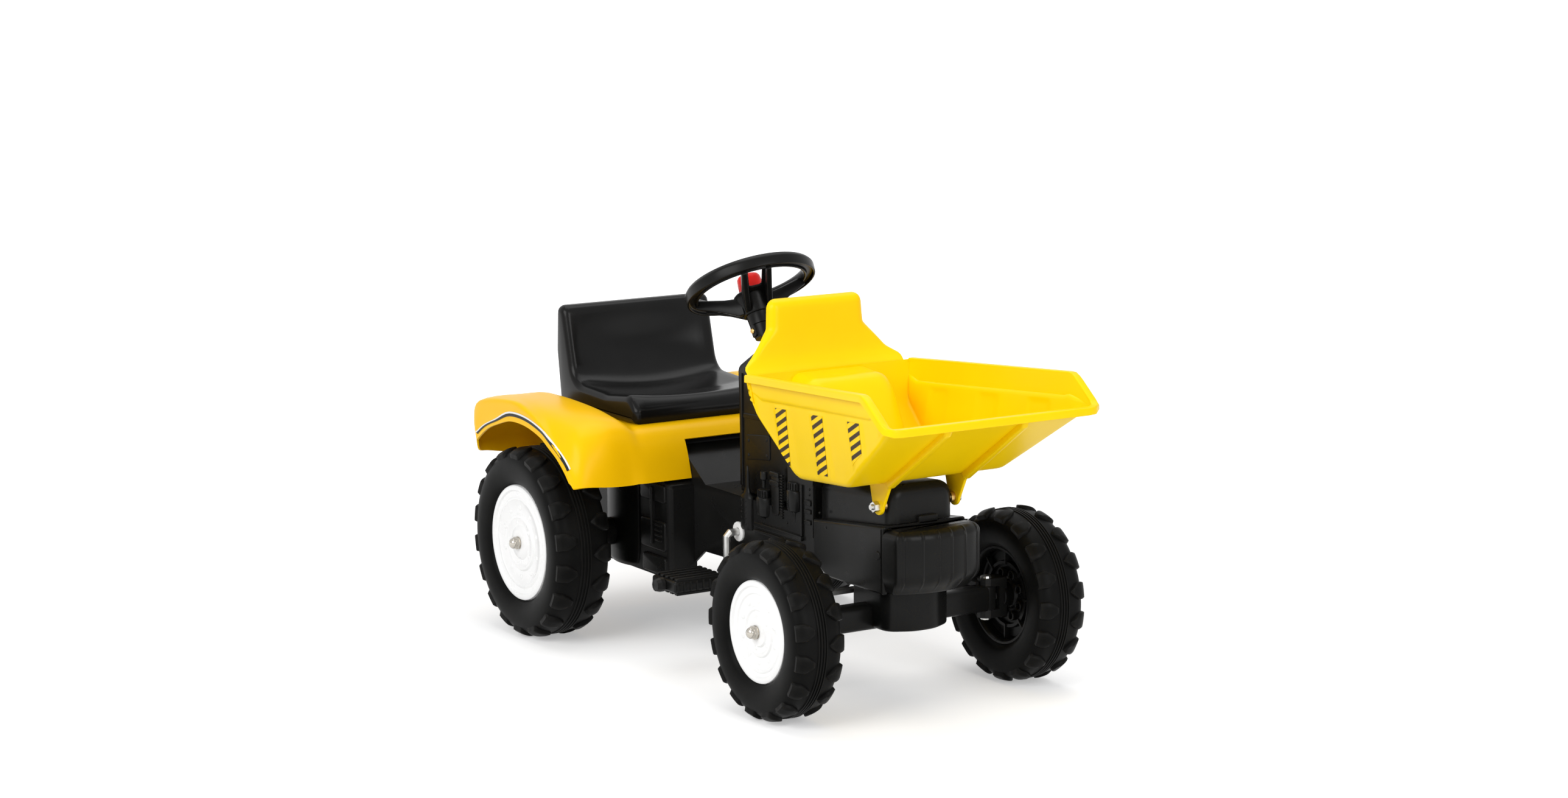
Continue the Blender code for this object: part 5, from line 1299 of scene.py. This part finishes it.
def side_details(side):
    """Moulded dress of one side of the chassis under the bucket: pipe, two canisters, a toothed strip, a tray."""
    wall = side * SPINE_HALF_W
    pipe = [(0.0, 0.300), (0.0025, 0.298), (0.0042, 0.288), (0.0046, 0.268), (0.0085, 0.258), (0.0150, 0.254)]
    pipe += [(0.0160, 0.250), (0.0160, 0.206), (0.0145, 0.203), (0.0, 0.203)]
    knob = [(0.0, 0.298), (0.0062, 0.298), (0.0068, 0.297), (0.0068, 0.287)]
    knob += [(0.0040, 0.285), (0.0030, 0.274), (0.0, 0.274)]
    parts = [upright_drum(pipe, 0.324, wall, 28, 0.5), upright_drum(knob, 0.371, wall, 20, 0.7)]
    parts += canister(0.3705, 0.228, 0.271, wall, side) + canister(0.456, 0.250, 0.296, wall, side)
    for row in range(5):
        for x in (0.3185, 0.3295):
            parts.append(stud(x, wall + side * 0.0074, 0.212 + row * 0.0088, side, 0.0016, 0.0012))
    for step in range(16):
        z = 0.236 + step * 0.0042
        parts.append(pad(oblong(0.4195, z, 0.4265, z + 0.0026, 0.0008, 2), wall, side, 0.0028, 0.0008))
    for low_x, high_x, low_z, high_z, height in SIDE_FIELDS:
        soft = min(high_x - low_x, high_z - low_z) * 0.35
        parts.append(pad(oblong(low_x, low_z, high_x, high_z, soft, 3), wall, side, height, 0.0012))
    for x, z in ((0.498, 0.284), (0.498, 0.292), (0.526, 0.262), (0.525, 0.224), (0.436, 0.232)):
        parts.append(stud(x, wall, z, side, 0.0022, 0.0018))
    return parts


def nose_shell():
    """The smooth sides of the nose, continued by the bumper."""
    corners = [(0.516, 0.252), (0.516, 0.192, 0.020), (0.550, NOSE_BOTTOM, 0.040)]
    corners += [(0.6995, NOSE_BOTTOM, 0.004), (0.6995, 0.2718, 0.003)]
    boss = [(0.0, 0.0016), (0.0056, 0.0016), (0.0064, 0.0009), (0.0068, -0.001)]
    parts = []
    for side in (-1, 1):
        face = side * NOSE_HALF_W
        rounding = (0.0, 0.0045) if side > 0 else (0.0045, 0.0)
        parts.append(pillow(rounded(corners, 6), *sorted((side * (SPINE_HALF_W - 0.001), face)), rounding))
        parts.append(laid(lathe(boss, 28), (0.6865, face, 0.229), side))
        parts.append(stud(0.552, face - side * 0.0002, 0.246, side, 0.0024, 0.0014))
    return parts


def body_sides():
    """The upright bulge and the raised fields on both sides of the chassis box."""
    bulge = [(0.0, 0.298), (0.040, 0.298, 0.006), (0.050, 0.288, 0.006), (0.053, 0.262, 0.006), (0.053, 0.126, 0.006)]
    bulge += [(0.049, 0.108, 0.006), (0.038, 0.1015, 0.006), (0.0, 0.1015)]
    fields = (0.082, 0.218, 0.158, 0.246), (0.082, 0.142, 0.158, 0.188), (0.086, 0.104, 0.158, 0.132)
    parts = []
    for side in (-1, 1):
        wall = side * BODY_HALF_W
        parts.append(upright_drum(rounded(bulge, 3, closed=False), 0.020, wall - side * 0.006, 48, 0.36))
        for field in fields:
            parts.append(pad(oblong(*field, 0.006), wall, side, FIELD_H, 0.0024))
        parts.append(pad(oblong(0.116, 0.150, 0.121, 0.240, 0.0015, 3), wall, side, 0.0066, 0.0016))
        for z in (0.158, 0.166, 0.174, 0.182):
            rib = oblong(0.128, z - 0.0015, 0.150, z + 0.0015, 0.001, 2)
            parts.append(pad(rib, wall + side * FIELD_H, side, 0.0014, 0.0007))
    return parts


def chassis_dress():
    parts = side_details(1) + side_details(-1) + nose_shell() + body_sides()
    piece("chassis_relief", merged(*parts), "black", "frame")


def engine_cover():
    low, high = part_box("engine_cover")
    rear, front = low.x - AXLE_X, high.x - AXLE_X
    half = high.y
    section = rounded([(-half, 0.2), (half, 0.2), (half, 0.3, 0.022), (-half, 0.3, 0.022)], 8)
    section[1:1] = [(-half + 2 * half * step / 6, 0.2) for step in range(1, 6)]

    def fitted(x, y, z):
        """Lays the section's floor at 0.2 and its top at 0.3 on the lines that rise to the front."""
        share = (x - rear) / (front - rear)
        if z > 0.25:
            return x, y, 0.3125 + 0.0145 * share - (0.3 - z)
        return x, y, 0.2503 + 0.0219 * share

    mesh = pillow(section, rear, front, (0.008, 0.016), "YZ", rows=8, bend=fitted)
    notch = oblong(-0.010, 0.270, 0.022, 0.2815, (0.001, 0.001, 0.003, 0.003), 3)
    lug = pillow(notch, front - 0.002, front + 0.0065, (0.0, 0.0022), "YZ")
    piece("engine_cover_look", merged(mesh, lug), "black", "frame", 45)


def bumper_reach(y):
    """How far forward the bumper's face stands at a place across."""
    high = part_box("front_bumper")[1]
    front = high.x - AXLE_X
    return front - (front - BUMPER_CORNER) * (y / high.y) ** 2


def front_bumper():
    low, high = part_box("front_bumper")
    half = high.y
    base = low.z - 0.009
    rear = low.x - AXLE_X
    corners = [(rear, -half)]
    for share in (-1, -0.75, -0.5, -0.25, 0, 0.25, 0.5, 0.75, 1):
        corners.append((bumper_reach(half * share), half * share, 0.008 if abs(share) == 1 else 0.05))
    outline = spaced(rounded(corners + [(rear, half)], 4) + [(rear, -half)], 0.004)[:-1]

    def lipped(x, y, z):
        """Draws the foot in and back, and cuts the upright grooves into the face."""
        under = 1 - soft_step(z, base, base + 0.034)
        face_x = bumper_reach(max(-half, min(half, y)))
        forward = soft_step(x, face_x - 0.030, face_x)
        groove = max(1 - soft_step(abs(abs(y) - place), 0.0004, 0.0017) for place in (0.0105, 0.0360, 0.0625))
        upright = soft_step(z, base + 0.004, base + 0.016)
        flute = math.cos(math.pi * (max(abs(y), 0.0105) - 0.0105) / 0.0255) ** 2
        cut = upright * (0.0013 * groove - 0.00036 * flute)
        return x + forward * (cut - 0.018 * under**2), y * (1 - 0.09 * under**2), z

    fine = spaced(outline + [outline[0]], 0.0011)[:-1]
    mesh = pillow(fine, base, high.z, (0.0050, 0.0130), "XY", rows=12, bend=lipped)
    piece("front_bumper_look", mesh, "black", "frame", 45)


def axle_beam():
    low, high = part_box("front_axle_beam")
    left = [(0.052, 0.055, 0.026), (-0.040, 0.055, 0.012)]
    right = [(along, -across, radius) for along, across, radius in reversed(left)]
    corners = right + [(0.072, -0.018, 0.050), (0.072, 0.018, 0.050)] + left
    boss = rounded([(WHEELBASE + along, across, radius) for along, across, radius in corners], 6)
    parts = [pillow(boss, low.z + 0.014, high.z, (0.005, 0.002), "XY")]
    arm = oblong(WHEELBASE - 0.015, 0.110, WHEELBASE + 0.017, 0.148, 0.009, 5)
    eye = [(0.0, 0.1485), (0.0120, 0.1485), (0.0148, 0.1462), (0.0150, 0.1450)]
    eye += [(0.0150, 0.1130), (0.0140, 0.1118), (0.0, 0.1118)]
    for side in (-1, 1):
        parts.append(pillow(arm, *sorted((side * 0.040, side * 0.150)), 0.001))
        parts.append(moved(lathe(eye, 32), Matrix.Translation((WHEELBASE, side * KINGPIN_Y, 0))))

    head = prism(arc((WHEELBASE, 0), 0.008, 0, 300, 5), low.z + 0.008, low.z + 0.0145, "XY")
    shank = lathe([(0.0, low.z + 0.012), (0.0039, low.z + 0.012), (0.0039, 0.197), (0.0, 0.197)], 16)
    shank = moved(shank, Matrix.Translation((WHEELBASE, 0, 0)))
    piece("axle_bolt_look", merged(bevelled(head, 0.0006, 2), shank), "zinc", "frame", 35)
    piece("front_axle_beam_look", merged(*parts), "black", "frame")


def pedals():
    for side in ("left", "right"):
        low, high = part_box(f"pedal_{side}")
        centre = (low + high) / 2
        size = high - low
        flank = size.z * 0.34
        outline = oblong(low.x, centre.z - flank, high.x, centre.z + flank, 0.005)
        parts = [pillow(outline, low.y, high.y, 0.004)]
        for step in range(5):
            x = centre.x + (step - 2) * size.x * 0.2
            for turn in (-1, 1):
                bottom, top = sorted((centre.z + turn * size.z * 0.30, centre.z + turn * size.z / 2))
                bar = oblong(x - 0.0042, bottom, x + 0.0042, top, (0.0012, 0.0012, 0.0016, 0.0016), 3)
                parts.append(pillow(bar, low.y + 0.005, high.y - 0.005, 0.0015))
        for step in range(8):
            y = low.y + size.y * (step + 0.5) / 8
            for x in (low.x, high.x):
                rib = box_mesh((x - 0.0015, y - 0.0016, low.z + 0.006), (x + 0.0014, y + 0.0016, high.z - 0.006))
                parts.append(bevelled(rib, 0.0006, 2))
        piece(f"pedal_{side}_look", merged(*parts), "black", f"pedal_roll_{side}", carry=False)


LOOKS = finishes()
camera()
stage()
wheels()
bucket()
cowl()
cowl_stripe("arch_line_white", 0.0128, 0.0156, "stripe_white")
cowl_stripe("arch_line_black", 0.0082, 0.0128, "stripe_black")
seat()
steering_wheel()
column()
chassis_dress()
engine_cover()
front_bumper()
axle_beam()
pedals()

repaint("black", "chassis", "column_bush", "knuckle_left", "knuckle_right", "pedal_cap_left", "pedal_cap_right")
repaint("brass_plate", "pivot_spacer_left", "pivot_spacer_right")
repaint("white", "axle_bush_left", "axle_bush_right", "crank_bush_left", "crank_bush_right")
repaint("zinc", "seat_bolt_left", "seat_bolt_right", "kingpin_left", "kingpin_right")
repaint("zinc", "pivot_rod", "pivot_nut", "drive_chain", "steering_shaft", "stub_axle_left", "stub_axle_right")
repaint("zinc", "tie_rod", "rear_axle", "rear_sprocket", "crank", "crank_sprocket")
